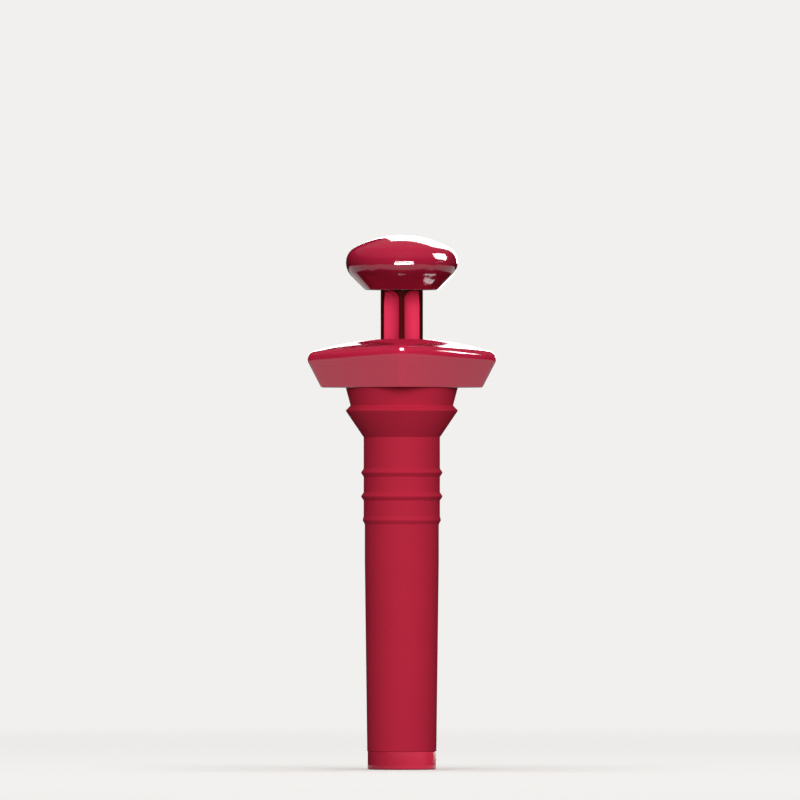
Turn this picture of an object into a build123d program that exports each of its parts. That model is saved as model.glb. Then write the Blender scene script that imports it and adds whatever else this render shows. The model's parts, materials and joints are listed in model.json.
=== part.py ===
from build123d import *
import math
import os

# Wine vacuum pump that is also the bottle's stopper. A round push knob drives a fluted rod and a
# piston inside a long barrel. A rubber sleeve with a cone and three ribs plugs the bottle's neck,
# a diamond-shaped collar stays above it, and a spring-loaded disc valve sits in the cap at the tip.
#
# Millimetres, +Z up along the pump's axis. The origin is on the axis, in the plane of the bottle's
# mouth, where the foot of the rubber cone meets the glass. The collar's long diagonal is along X.
# The knob stands a little above the collar, as it does between two strokes.

# Clearances and cuts that many pieces share
seal_gap = 0.02
fit_gap = 0.05
running_gap = 0.08
slide_gap = 0.15
loose_gap = 0.3
stop_gap = 0.2
overrun = 1.0

# Rod: four flutes leave a core, a thin web at the front and back, and wide lands at the sides
rod_radius = 5.07
rod_core_radius = 2.85
flute_sink = 0.13
flute_web = 1.19
rod_flat_inset = 0.75

# Screws: pan heads at both ends of the rod, flat heads under the collar
pan_head_radius = 2.7
pan_head_height = 1.6
pan_shank_radius = 1.25
pan_shank_length = 9.0
flat_head_radius = 1.9
flat_head_angle = 90
flat_shank_radius = 0.9
screw_point = 1.2
driver_slot_width = 0.7
driver_slot_depth = 0.6
driver_slot_share = 1.0
screw_hole_gap = 0.3
pilot_spare = 0.5

# Knob: a flat foot, a 45 degree taper, a rounded belly and a flattened dome
finger_gap = 11.65
knob_radius = 13.4
knob_foot_reach = 3.69
knob_belly_round = 4.7
knob_dome_height = 6.48
knob_shoulder_round = 4.1
knob_taper_angle = 45
knob_wall = 1.8
knob_foot_round = 0.3
knob_socket_depth = 4.0
knob_boss_wall = 1.9
knob_boss_roof = 1.5
knob_lip_height = 1.6
knob_lip_wall = 1.2
knob_bead_reach = 0.2
knob_bead_half_height = 0.3

# Collar: a bowl that flares upwards between bowed sides, closed by a low domed lid
collar_bowl_height = 5.2
collar_lid_height = 6.6
collar_tip_reach = 6.65
collar_side_reach = 3.45
collar_bow = 1.1
collar_flare_angle = 27.5
collar_dome_radius = 72.0
collar_ridge_round = 2.5
collar_inner_round = 0.6
collar_crown_round = 2.0
collar_foot_round = 0.5
collar_wall = 1.6
collar_floor = 1.6
collar_roof = 1.9
collar_lip_depth = 1.0
collar_lip_wall = 0.8
mould_draft_angle = 1
collar_ring_wall = 2.4
collar_boss_wall = 1.1
collar_screw_room = 1.8

# Barrel, and the guide bush that its top holds
barrel_wall = 0.9
barrel_chamfer = 0.4
flange_reach = 1.3
flange_thickness = 1.6
guide_wall = 1.7
guide_depth = 8.0
guide_flange_thickness = 1.6
guide_neck_wall = 2.2
guide_neck_room = 1.3
guide_tongue_room = 0.25
guide_tongue_root = 0.85

# Rubber sleeve from the collar down to the tip, and the hard former inside its cone
skirt_height = 4.3
skirt_spread = 1.15
waist_rise = 1.2
waist_inset = 1.2
cone_height = 6.3
cone_spread = 4.25
cone_rim_round = 0.3
mouth_step = 0.1
plug_skin = 1.3
guide_land_skin = 1.03
tip_skin = 0.45
first_rib_depth = 8.6
rib_pitch = 5.7
rib_count = 3
rib_flank = 0.9
rib_land = 0.2
rib_reach = 0.6
last_rib_reach = 0.22
guide_land_length = 8.6
sleeve_depth = 75.5
former_foot_wall = 0.8
former_skin = 1.3

# Cap at the tip, and the inlet valve stacked inside it
cap_band_height = 4.3
cap_step = 0.12
cap_edge_round = 0.4
cap_spigot_wall = 0.95
cap_floor = 1.6
cap_port_radius = 0.8
cap_port_margin = 0.45
cap_port_count = 6
gasket_thickness = 0.8
gasket_width = 1.6
seat_thickness = 1.5
seat_port_radius = 1.7
seat_lip_width = 0.7
seat_lip_height = 0.4
disc_overhang = 0.6
disc_thickness = 0.9
disc_nub_height = 0.5
disc_play = 0.45
valve_spring_radius = 2.0
valve_spring_wire_radius = 0.2
valve_spring_height = 3.3
valve_spring_turns = 3
cage_roof = 0.8
cage_eye_radius = 1.4
cage_hub_margin = 0.4
cage_skin = 1.1
cage_slot_width = 1.6
cage_slot_count = 4

# Piston with its floating ring, and the rubber stop on top of it
ring_section_radius = 1.2
ring_float = 0.8
ring_groove_gap = 0.15
piston_bottom_land = 2.2
piston_top_land = 3.1
piston_chamfer = 0.4
piston_web = 2.1
piston_core_wall = 1.28
piston_clearance = 0.65
vent_width = 2.0
vent_count = 4
bumper_width = 0.9
bumper_thickness = 1.5
bumper_round = 0.3

# Radii of the nested pieces, from the rod outwards
guide_bore = rod_radius + running_gap
bore_radius = guide_bore + guide_wall + fit_gap
piston_radius = bore_radius - slide_gap
barrel_radius = bore_radius + barrel_wall
sleeve_bore = barrel_radius + fit_gap
tip_radius = sleeve_bore + tip_skin
guide_land_radius = sleeve_bore + guide_land_skin
plug_radius = sleeve_bore + plug_skin
mouth_radius = plug_radius + mouth_step
cone_rim_radius = mouth_radius + cone_spread
waist_radius = cone_rim_radius - waist_inset
skirt_radius = waist_radius + skirt_spread
flange_radius = barrel_radius + flange_reach

# Heights along the axis, from the bottle's mouth upwards
waist_z = cone_height + waist_rise
collar_z = waist_z + skirt_height
floor_z = collar_z + collar_floor
flange_z = floor_z + flange_thickness
guide_flange_z = flange_z + guide_flange_thickness
seam_z = collar_z + collar_bowl_height
crown_z = seam_z + collar_lid_height
knob_z = crown_z + finger_gap
rod_top_z = knob_z + knob_socket_depth
guide_bottom_z = flange_z - guide_depth

# Heights along the axis, from the tip upwards
tip_z = -sleeve_depth
bottom_z = tip_z - cap_band_height
gasket_z = bottom_z + cap_floor
seat_z = gasket_z + gasket_thickness
seat_top_z = seat_z + seat_thickness
disc_z = seat_top_z + seat_lip_height
disc_top_z = disc_z + disc_thickness
cage_roof_z = disc_top_z + valve_spring_height
cage_top_z = cage_roof_z + cage_roof
press_travel = finger_gap - stop_gap
groove_height = 2 * ring_section_radius + ring_float
piston_length = piston_bottom_land + groove_height + piston_top_land
piston_z = cage_top_z + piston_clearance + press_travel
groove_z = piston_z + piston_bottom_land
groove_top_z = groove_z + groove_height
piston_top_z = piston_z + piston_length
bumper_top_z = piston_top_z + bumper_thickness

up = (Align.CENTER, Align.CENTER, Align.MIN)

os.makedirs("parts", exist_ok=True)


def save(part, name):
    """Labels a finished piece and writes it as one STEP file."""
    part.label = name
    export_step(part, f"parts/{name}.step")


def turned(points):
    """A solid of revolution about Z, from the points of its half section as radius and height."""
    with BuildPart() as made:
        with BuildSketch(Plane.XZ):
            with BuildLine():
                Polyline(*points, close=True)
            make_face()
        revolve(axis=Axis.Z)
    return made.part


def screw(head, shank_radius, shank_length):
    """A screw with its point down. The head is the rest of its half section, from the top in."""
    top = head[0][1]
    slot_length = driver_slot_share * head[0][0]
    shank = [(shank_radius, -shank_length + screw_point), (0, -shank_length), (0, top)]
    with BuildPart() as made:
        add(turned(head + shank))
        with Locations((0, 0, top)):
            Box(slot_length, driver_slot_width, 2 * driver_slot_depth, mode=Mode.SUBTRACT)
            Box(driver_slot_width, slot_length, 2 * driver_slot_depth, mode=Mode.SUBTRACT)
    return made.part


# Both ends of the rod take the same screw, and the collar takes two of the other
pan_screw = screw(
    [(pan_head_radius, pan_head_height), (pan_head_radius, 0), (pan_shank_radius, 0)],
    pan_shank_radius,
    pan_shank_length,
)
pan_pilot_radius = pan_shank_radius + fit_gap
pan_hole_radius = pan_shank_radius + screw_hole_gap
pan_sink_radius = pan_head_radius + screw_hole_gap
pan_sink_depth = pan_head_height + screw_hole_gap

# Knob base: foot, taper and belly outside, a thin wall inside, and the rod's socket in its middle
knob_foot_radius = rod_radius + knob_foot_reach
taper_cos = math.cos(math.radians(knob_taper_angle))
taper_sin = math.sin(math.radians(knob_taper_angle))
belly_start_radius = knob_radius - knob_belly_round * (1 - taper_cos)
taper_height = (belly_start_radius - knob_foot_radius) * taper_sin / taper_cos
belly_z = knob_z + taper_height + knob_belly_round * taper_sin
knob_inner_radius = knob_radius - knob_wall
inner_belly_round = knob_belly_round - knob_wall
inner_belly_radius = knob_inner_radius - inner_belly_round * (1 - taper_cos)
inner_belly_z = belly_z - inner_belly_round * taper_sin
knob_floor_z = knob_z + knob_wall
inner_foot_radius = inner_belly_radius - (inner_belly_z - knob_floor_z) * taper_cos / taper_sin
knob_boss_radius = rod_radius + fit_gap + knob_boss_wall
knob_boss_z = rod_top_z + knob_boss_roof
lip_z = belly_z - knob_lip_height
bead_z = belly_z - knob_lip_height / 2
rod_flat_half = rod_radius - rod_flat_inset

with BuildPart() as knob_base:
    with BuildSketch(Plane.XZ) as outside:
        with BuildLine():
            Polyline(
                (0, belly_z),
                (0, knob_z),
                (knob_foot_radius, knob_z),
                (belly_start_radius, knob_z + taper_height),
            )
            TangentArc(
                (belly_start_radius, knob_z + taper_height),
                (knob_radius, belly_z),
                tangent=(taper_cos, taper_sin),
            )
            Line((knob_radius, belly_z), (0, belly_z))
        make_face()
        foot = outside.vertices().filter_by_position(Axis.X, knob_foot_radius, knob_foot_radius)
        fillet(foot, knob_foot_round)
    revolve(axis=Axis.Z)
    with BuildSketch(Plane.XZ):
        with BuildLine():
            Polyline(
                (0, belly_z),
                (0, knob_floor_z),
                (inner_foot_radius, knob_floor_z),
                (inner_belly_radius, inner_belly_z),
            )
            TangentArc(
                (inner_belly_radius, inner_belly_z),
                (knob_inner_radius, belly_z),
                tangent=(taper_cos, taper_sin),
            )
            Line((knob_inner_radius, belly_z), (0, belly_z))
        make_face()
    revolve(axis=Axis.Z, mode=Mode.SUBTRACT)
    with BuildSketch(Plane.XZ):
        with BuildLine():
            Polyline(
                (knob_inner_radius, bead_z - knob_bead_half_height - fit_gap),
                (knob_inner_radius + knob_bead_reach, bead_z),
                (knob_inner_radius, bead_z + knob_bead_half_height + fit_gap),
                close=True,
            )
        make_face()
    revolve(axis=Axis.Z, mode=Mode.SUBTRACT)
    with Locations((0, 0, lip_z - fit_gap)):
        Cylinder(knob_inner_radius, knob_lip_height + overrun, align=up, mode=Mode.SUBTRACT)
    with Locations((0, 0, knob_z + knob_foot_round)):
        Cylinder(knob_boss_radius, knob_boss_z - knob_z - knob_foot_round, align=up)
    with BuildSketch(Plane.XY.offset(knob_z)):
        Circle(rod_radius + fit_gap)
        Rectangle(2 * knob_radius, 2 * (rod_flat_half + fit_gap), mode=Mode.INTERSECT)
    extrude(amount=knob_socket_depth, mode=Mode.SUBTRACT)
    with Locations((0, 0, knob_boss_z)):
        Hole(pan_hole_radius, depth=knob_boss_roof)
save(knob_base.part, "knob_base")



def dome_line(radius, height, shoulder):
    """Two arcs in the open line that share a tangent, from the belly up to the top of a dome."""
    crown = ((radius - shoulder) ** 2 + height**2 - shoulder**2) / (2 * (height - shoulder))
    reach = crown / (crown - shoulder)
    meet = ((radius - shoulder) * reach, belly_z + (height - crown) * (1 - reach))
    first = TangentArc((radius, belly_z), meet, tangent=(0, 1))
    TangentArc(meet, (0, belly_z + height), tangent=first % 1)


# Knob cap: a flattened dome whose lip snaps into the base
lip_radius = knob_inner_radius - fit_gap
lip_inner_radius = lip_radius - knob_lip_wall
dome_inner_height = knob_dome_height - knob_wall
bead_reach = knob_bead_reach - fit_gap

with BuildPart() as knob_cap:
    with BuildSketch(Plane.XZ):
        with BuildLine():
            dome_line(knob_radius, knob_dome_height, knob_shoulder_round)
            Polyline(
                (0, belly_z + knob_dome_height),
                (0, lip_z),
                (lip_radius, lip_z),
                (lip_radius, bead_z - knob_bead_half_height),
                (lip_radius + bead_reach, bead_z),
                (lip_radius, bead_z + knob_bead_half_height),
                (lip_radius, belly_z),
                (knob_radius, belly_z),
            )
        make_face()
    revolve(axis=Axis.Z)
    with BuildSketch(Plane.XZ):
        with BuildLine():
            dome_line(lip_inner_radius, dome_inner_height, knob_shoulder_round - knob_wall)
            Polyline(
                (0, belly_z + dome_inner_height),
                (0, lip_z),
                (lip_inner_radius, lip_z),
                (lip_inner_radius, belly_z),
            )
        make_face()
    revolve(axis=Axis.Z, mode=Mode.SUBTRACT)
save(knob_cap.part, "knob_cap")

with BuildPart() as knob_screw:
    with Locations((0, 0, knob_boss_z)):
        add(pan_screw)
save(knob_screw.part, "knob_screw")

# Rod: a spigot for the piston below, four ball-ended flutes, two flats in the knob's socket
flute_centre_radius = rod_radius + flute_sink
flute_radius = flute_centre_radius - rod_core_radius
flute_angle = math.degrees(math.asin((flute_radius + flute_web / 2) / flute_centre_radius))
flute_angles = [90 - flute_angle, 90 + flute_angle, 270 - flute_angle, 270 + flute_angle]
flute_places = [
    (
        flute_centre_radius * math.cos(math.radians(angle)),
        flute_centre_radius * math.sin(math.radians(angle)),
    )
    for angle in flute_angles
]
flute_low_z = bumper_top_z + flute_radius
flute_high_z = knob_z - flute_radius
groove_root_radius = bore_radius - seal_gap - 2 * ring_section_radius - ring_groove_gap
piston_spigot_radius = groove_root_radius - piston_core_wall - fit_gap
piston_spigot_length = piston_length - piston_web - pan_sink_depth

with BuildPart() as plunger_rod:
    with Locations((0, 0, piston_top_z)):
        Cylinder(rod_radius, rod_top_z - piston_top_z, align=up)
    with Locations((0, 0, piston_top_z - piston_spigot_length)):
        Cylinder(piston_spigot_radius, piston_spigot_length + overrun, align=up)
    with Locations(*[(x, y, flute_low_z) for x, y in flute_places]):
        Cylinder(flute_radius, flute_high_z - flute_low_z, align=up, mode=Mode.SUBTRACT)
        Sphere(flute_radius, mode=Mode.SUBTRACT)
    with Locations(*[(x, y, flute_high_z) for x, y in flute_places]):
        Sphere(flute_radius, mode=Mode.SUBTRACT)
    with BuildSketch(Plane.XY.offset(knob_z)):
        Rectangle(2 * knob_radius, 2 * knob_radius)
        Rectangle(2 * knob_radius, 2 * rod_flat_half, mode=Mode.SUBTRACT)
    extrude(amount=knob_socket_depth + overrun, mode=Mode.SUBTRACT)
    with Locations((0, 0, rod_top_z)):
        Hole(pan_pilot_radius, depth=pan_shank_length - knob_boss_roof + pilot_spare)
    with Locations(Plane((0, 0, piston_top_z - piston_spigot_length), z_dir=(0, 0, -1))):
        Hole(pan_pilot_radius, depth=pan_shank_length - piston_web + pilot_spare)
save(plunger_rod.part, "plunger_rod")

# Piston: a groove that lets the ring slide up and open the vents, and a sunk screw below
vent_length = piston_radius - groove_root_radius
vent_centre_radius = groove_root_radius + vent_length / 2
with BuildPart() as piston_head:
    with Locations((0, 0, piston_z)):
        Cylinder(piston_radius, piston_length, align=up)
    chamfer(piston_head.edges().filter_by(GeomType.CIRCLE), piston_chamfer)
    with BuildSketch(Plane.XY.offset(groove_z)):
        Circle(piston_radius + overrun)
        Circle(groove_root_radius, mode=Mode.SUBTRACT)
    extrude(amount=groove_height, mode=Mode.SUBTRACT)
    with BuildSketch(Plane.XY.offset(groove_top_z)):
        with PolarLocations(vent_centre_radius + overrun / 2, vent_count):
            Rectangle(vent_length + overrun, vent_width)
    extrude(amount=piston_top_land, mode=Mode.SUBTRACT)
    with Locations((0, 0, piston_top_z)):
        Hole(piston_spigot_radius + fit_gap, depth=piston_spigot_length)
    with Locations(Plane((0, 0, piston_z), z_dir=(0, 0, -1))):
        CounterBoreHole(pan_hole_radius, pan_sink_radius, pan_sink_depth)
save(piston_head.part, "piston_head")

with BuildPart() as piston_screw:
    with Locations(Plane((0, 0, piston_z + pan_sink_depth), z_dir=(0, 0, -1))):
        add(pan_screw)
save(piston_screw.part, "piston_screw")

with BuildPart() as piston_o_ring:
    with Locations((0, 0, groove_z + ring_section_radius + seal_gap)):
        Torus(bore_radius - seal_gap - ring_section_radius, ring_section_radius)
save(piston_o_ring.part, "piston_o_ring")

with BuildPart() as stroke_bumper:
    with BuildSketch(Plane.XY.offset(piston_top_z)):
        Circle(rod_radius + fit_gap + bumper_width)
        Circle(rod_radius + fit_gap, mode=Mode.SUBTRACT)
    extrude(amount=bumper_thickness)
    fillet(stroke_bumper.edges().group_by(Axis.Z)[-1], bumper_round)
save(stroke_bumper.part, "stroke_bumper")


def side_at(z, inset):
    """The radius of the collar's bowed sides at a height, drawn in by an inset."""
    return side_radius + (z - collar_z) * side_slope - inset


def collar_prism(low_z, high_z, low_radius, high_radius, ridge_round):
    """What four cones about far axes share between two heights, with the ridges rounded."""
    with BuildPart() as prism:
        with Locations((side_x, side_y, low_z)):
            Cone(low_radius, high_radius, high_z - low_z, align=up)
        for x, y in ((-side_x, side_y), (-side_x, -side_y), (side_x, -side_y)):
            with Locations((x, y, low_z)):
                Cone(low_radius, high_radius, high_z - low_z, align=up, mode=Mode.INTERSECT)
        ends = prism.faces().filter_by(GeomType.PLANE)
        fillet(prism.edges() - ends.edges(), ridge_round)
    return prism.part


def ceiling_z(radius):
    """The height of the lid's domed ceiling at a distance from the axis."""
    return dome_centre_z + math.sqrt(dome_inner_radius**2 - radius**2)


# Collar's sides: cones whose slope gives the flare at the long ends
half_length = skirt_radius + collar_tip_reach
half_width = skirt_radius + collar_side_reach
side_chord = math.hypot(half_length, half_width)
side_radius = side_chord**2 / (8 * collar_bow) + collar_bow / 2
side_x = half_length / 2 - (side_radius - collar_bow) * half_width / side_chord
side_y = half_width / 2 - (side_radius - collar_bow) * half_length / side_chord
end_sine = math.sqrt(1 - (side_y / side_radius) ** 2)
side_slope = math.tan(math.radians(collar_flare_angle)) * end_sine

# Places that the collar's bowl and its lid share
dome_centre_z = crown_z - collar_dome_radius
dome_inner_radius = collar_dome_radius - collar_roof
neck_radius = guide_bore + guide_neck_wall
ring_inner_radius = neck_radius + loose_gap
ring_radius = ring_inner_radius + collar_ring_wall
boss_radius = flat_shank_radius + fit_gap + collar_boss_wall
boss_x = flange_radius + loose_gap + boss_radius
boss_ceiling_z = ceiling_z(boss_x + boss_radius)
screw_length = boss_ceiling_z - collar_screw_room - collar_z

# The outside of the whole collar, which the seam divides into a bowl and a lid
with BuildPart() as collar_form:
    low_radius, high_radius = side_at(collar_z, 0), side_at(crown_z, 0)
    add(collar_prism(collar_z, crown_z, low_radius, high_radius, collar_ridge_round))
    with Locations((0, 0, dome_centre_z)):
        Sphere(collar_dome_radius, mode=Mode.INTERSECT)
    dome = collar_form.faces().filter_by(GeomType.SPHERE)
    fillet(dome.edges(), collar_crown_round)

# Bowl: its floor holds the barrel's flange and the two screws
with BuildPart() as collar_bowl:
    add(collar_form.part)
    split(bisect_by=Plane.XY.offset(seam_z), keep=Keep.BOTTOM)
    fillet(collar_bowl.edges().group_by(Axis.Z)[0], collar_foot_round)
    low_radius, high_radius = side_at(floor_z, collar_wall), side_at(seam_z, collar_wall)
    room = collar_prism(floor_z, seam_z, low_radius, high_radius, collar_inner_round)
    add(room, mode=Mode.SUBTRACT)
    with Locations((0, 0, collar_z)):
        Cylinder(sleeve_bore, collar_floor + overrun, align=up, mode=Mode.SUBTRACT)
    with Locations(
        Plane((boss_x, 0, collar_z), z_dir=(0, 0, -1)),
        Plane((-boss_x, 0, collar_z), z_dir=(0, 0, -1)),
    ):
        CounterSinkHole(
            flat_shank_radius + fit_gap,
            flat_head_radius + fit_gap,
            depth=collar_floor,
            counter_sink_angle=flat_head_angle,
        )
save(collar_bowl.part, "collar_bowl")

# Lid: a lip that locates it in the bowl, a ring that clamps the guide, and two screw bosses
lip_low_z = seam_z - collar_lip_depth
lip_inset = collar_wall + fit_gap
with BuildPart() as lid_hollow:
    low_radius = side_at(lip_low_z, lip_inset + collar_lip_wall)
    high_radius = low_radius - (crown_z - lip_low_z) * math.tan(math.radians(mould_draft_angle))
    add(collar_prism(lip_low_z, crown_z, low_radius, high_radius, collar_inner_round))
    with Locations((0, 0, dome_centre_z)):
        Sphere(dome_inner_radius, mode=Mode.INTERSECT)

with BuildPart() as collar_lid:
    add(collar_form.part)
    split(bisect_by=Plane.XY.offset(seam_z), keep=Keep.TOP)
    low_radius, high_radius = side_at(lip_low_z, lip_inset), side_at(seam_z, lip_inset)
    add(collar_prism(lip_low_z, seam_z, low_radius, high_radius, collar_inner_round))
    add(lid_hollow.part, mode=Mode.SUBTRACT)
    with BuildSketch(Plane.XY.offset(guide_flange_z)):
        Circle(ring_radius)
        Circle(ring_inner_radius, mode=Mode.SUBTRACT)
    extrude(amount=ceiling_z(ring_radius) + collar_roof / 2 - guide_flange_z)
    with Locations((boss_x, 0, floor_z), (-boss_x, 0, floor_z)):
        Cylinder(boss_radius, boss_ceiling_z + collar_roof / 2 - floor_z, align=up)
    with Locations((0, 0, crown_z)):
        Hole(rod_radius + loose_gap, depth=crown_z - ceiling_z(0) + overrun)
    with Locations(
        Plane((boss_x, 0, floor_z), z_dir=(0, 0, -1)),
        Plane((-boss_x, 0, floor_z), z_dir=(0, 0, -1)),
    ):
        Hole(flat_shank_radius + fit_gap, depth=screw_length - collar_floor + pilot_spare)
save(collar_lid.part, "collar_lid")

flat_cone = (flat_head_radius - flat_shank_radius) / math.tan(math.radians(flat_head_angle / 2))
flat_screw = screw(
    [
        (flat_head_radius, 0),
        (flat_head_radius, -fit_gap),
        (flat_shank_radius, -fit_gap - flat_cone),
    ],
    flat_shank_radius,
    screw_length,
)
with BuildPart() as collar_screws:
    with Locations(
        Plane((boss_x, 0, collar_z), z_dir=(0, 0, -1)),
        Plane((-boss_x, 0, collar_z), z_dir=(0, 0, -1)),
    ):
        add(flat_screw)
save(collar_screws.part, "collar_screws")

# Barrel: a thin tube whose flange is held between the bowl's floor and the guide
with BuildPart() as barrel:
    with BuildSketch(Plane.XY.offset(tip_z)):
        Circle(barrel_radius)
    extrude(amount=flange_z - tip_z)
    with BuildSketch(Plane.XY.offset(floor_z)):
        Circle(flange_radius)
    extrude(amount=flange_thickness)
    with Locations((0, 0, flange_z)):
        Hole(bore_radius)
    mouths = barrel.edges().filter_by(GeomType.CIRCLE)
    mouths = mouths.filter_by(lambda edge: edge.radius < bore_radius + fit_gap)
    chamfer(mouths, barrel_chamfer)
save(barrel.part, "barrel")

# Guide bush: a sleeve in the barrel, a flange on it and a neck above. Two tongues run in two
# opposite flutes and keep the knob square, and the other two flutes let the air out.
neck_top_z = ceiling_z(neck_radius) - guide_neck_room
tongue_z = guide_bottom_z + flute_radius + guide_tongue_room
with BuildPart() as rod_guide:
    add(
        turned(
            [
                (guide_bore, guide_bottom_z),
                (bore_radius - fit_gap, guide_bottom_z),
                (bore_radius - fit_gap, flange_z),
                (flange_radius, flange_z),
                (flange_radius, guide_flange_z),
                (neck_radius, guide_flange_z),
                (neck_radius, neck_top_z),
                (guide_bore, neck_top_z),
            ]
        )
    )
    with BuildSketch(Plane.XY.offset(tongue_z)):
        with Locations(flute_places[0], flute_places[2]):
            Circle(flute_radius - running_gap)
        Circle(guide_bore + guide_tongue_root, mode=Mode.INTERSECT)
    extrude(amount=neck_top_z - tongue_z)
save(rod_guide.part, "rod_guide")

# Rubber sleeve: skirt, waist, sealing cone, three barbed ribs, a guide land and a long taper
land_top_z = -first_rib_depth - (rib_count - 1) * rib_pitch - rib_land / 2 - rib_flank
profile = [
    (sleeve_bore, tip_z),
    (tip_radius, tip_z),
    (guide_land_radius, land_top_z - guide_land_length),
]
for rib in reversed(range(rib_count)):
    last = rib == rib_count - 1
    rib_z = -first_rib_depth - rib * rib_pitch
    rib_radius = plug_radius + (last_rib_reach if last else rib_reach)
    below_radius = guide_land_radius if last else plug_radius
    profile += [
        (below_radius, rib_z - rib_land / 2 - rib_flank),
        (rib_radius, rib_z - rib_land / 2),
        (rib_radius, rib_z + rib_land / 2),
        (plug_radius, rib_z + rib_land / 2 + rib_flank),
    ]
profile += [
    (plug_radius, 0),
    (mouth_radius, 0),
    (cone_rim_radius, cone_height),
    (waist_radius, waist_z),
    (skirt_radius, collar_z),
]
cone_slope = cone_spread / cone_height
cone_lean = math.sqrt(1 + cone_slope**2)
former_foot_radius = sleeve_bore + former_foot_wall
former_face_radius = mouth_radius - former_skin * cone_lean
former_top_radius = waist_radius - former_skin
former_bend_z = (former_top_radius - former_face_radius) / cone_slope
former_foot_z = (former_foot_radius - former_face_radius) / cone_slope
former = [
    (sleeve_bore, former_foot_z),
    (former_foot_radius, former_foot_z),
    (former_top_radius, former_bend_z),
    (former_top_radius, collar_z),
    (sleeve_bore, collar_z),
]
with BuildPart() as stopper_sleeve:
    add(turned(profile + [(sleeve_bore, collar_z)]))
    add(turned(former), mode=Mode.SUBTRACT)
    rims = stopper_sleeve.edges().filter_by(GeomType.CIRCLE)
    fillet(rims.filter_by(lambda edge: edge.radius > cone_rim_radius - seal_gap), cone_rim_round)
save(stopper_sleeve.part, "stopper_sleeve")

with BuildPart() as sleeve_former:
    add(turned(former))
save(sleeve_former.part, "sleeve_former")

# Cap: a band below the sleeve, a spigot in the barrel, and ports for the bottle's air
band_radius = tip_radius - cap_step
spigot_radius = bore_radius - fit_gap
cavity_radius = spigot_radius - cap_spigot_wall
stack_radius = cavity_radius - fit_gap
gasket_inner_radius = stack_radius - gasket_width
port_circle = gasket_inner_radius - cap_port_radius - cap_port_margin
with BuildPart() as end_cap:
    with Locations((0, 0, bottom_z)):
        Cylinder(band_radius, cap_band_height, align=up)
    fillet(end_cap.edges().group_by(Axis.Z)[0], cap_edge_round)
    with Locations((0, 0, tip_z)):
        Cylinder(spigot_radius, cage_top_z - tip_z, align=up)
    with Locations((0, 0, cage_top_z)):
        Hole(cavity_radius, depth=cage_top_z - gasket_z)
    with Locations((0, 0, gasket_z)):
        with PolarLocations(port_circle, cap_port_count):
            Hole(cap_port_radius, depth=cap_floor)
save(end_cap.part, "end_cap")

with BuildPart() as seat_gasket:
    with BuildSketch(Plane.XY.offset(gasket_z)):
        Circle(stack_radius)
        Circle(gasket_inner_radius, mode=Mode.SUBTRACT)
    extrude(amount=gasket_thickness)
save(seat_gasket.part, "seat_gasket")

seat_lip_radius = seat_port_radius + seat_lip_width
with BuildPart() as valve_seat:
    with BuildSketch(Plane.XY.offset(seat_z)):
        Circle(stack_radius)
    extrude(amount=seat_thickness)
    with BuildSketch(Plane.XY.offset(seat_top_z)):
        Circle(seat_lip_radius)
    extrude(amount=seat_lip_height)
    with Locations((0, 0, disc_z)):
        Hole(seat_port_radius)
save(valve_seat.part, "valve_seat")

disc_radius = seat_lip_radius + disc_overhang
disc_nub_radius = valve_spring_radius - valve_spring_wire_radius - loose_gap
with BuildPart() as valve_disc:
    with Locations((0, 0, disc_z)):
        Cylinder(disc_radius, disc_thickness, align=up)
    with Locations((0, 0, disc_top_z)):
        Cylinder(disc_nub_radius, disc_nub_height, align=up)
save(valve_disc.part, "valve_disc")

# Cage: its roof carries the spring, and slots lead the air past the lifted disc
cage_bore = disc_radius + disc_play
cage_hub_radius = valve_spring_radius + valve_spring_wire_radius + cage_hub_margin
slot_length = stack_radius - cage_skin - cage_hub_radius
with BuildPart() as valve_cage:
    with BuildSketch(Plane.XY.offset(seat_top_z)):
        Circle(stack_radius)
        Circle(cage_bore, mode=Mode.SUBTRACT)
    extrude(amount=cage_top_z - seat_top_z)
    with BuildSketch(Plane.XY.offset(cage_roof_z)):
        Circle(stack_radius - fit_gap)
        Circle(cage_eye_radius, mode=Mode.SUBTRACT)
    extrude(amount=cage_roof)
    with BuildSketch(Plane.XY.offset(seat_top_z)):
        with PolarLocations(cage_hub_radius + slot_length / 2, cage_slot_count):
            Rectangle(slot_length, cage_slot_width)
    extrude(amount=cage_top_z - seat_top_z, mode=Mode.SUBTRACT)
save(valve_cage.part, "valve_cage")

# Valve spring: a helix of quarter turns, each drawn with two arcs that share a tangent
coil_rise = valve_spring_height - 2 * valve_spring_wire_radius
coil_start_z = disc_top_z + valve_spring_wire_radius
quarters = 4 * valve_spring_turns
climb = coil_rise / (2 * math.pi * valve_spring_turns)


def coil_point(turn):
    """A point of the spring's centre line, after a number of turns."""
    angle = 2 * math.pi * turn
    return Vector(
        valve_spring_radius * math.cos(angle),
        valve_spring_radius * math.sin(angle),
        coil_start_z + climb * angle,
    )


def coil_tangent(turn):
    """The direction of the spring's centre line, after a number of turns."""
    angle = 2 * math.pi * turn
    return Vector(
        -valve_spring_radius * math.sin(angle), valve_spring_radius * math.cos(angle), climb
    ).normalized()


with BuildPart() as valve_spring:
    with BuildLine() as coil:
        for quarter in range(quarters):
            start, end = coil_point(quarter / 4), coil_point((quarter + 1) / 4)
            leave, arrive = coil_tangent(quarter / 4), coil_tangent((quarter + 1) / 4)
            chord, both = end - start, leave + arrive
            square = both.dot(both) - 4
            reach = (
                chord.dot(both) - math.sqrt(chord.dot(both) ** 2 - square * chord.dot(chord))
            ) / square
            joint = (start + leave * reach + end - arrive * reach) * 0.5
            first = TangentArc(start, joint, tangent=leave)
            TangentArc(joint, end, tangent=first % 1)
    with BuildSketch(Plane(coil_point(0), z_dir=coil_tangent(0))):
        Circle(valve_spring_wire_radius)
    sweep(path=coil.wires()[0])
save(valve_spring.part, "valve_spring")

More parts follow.
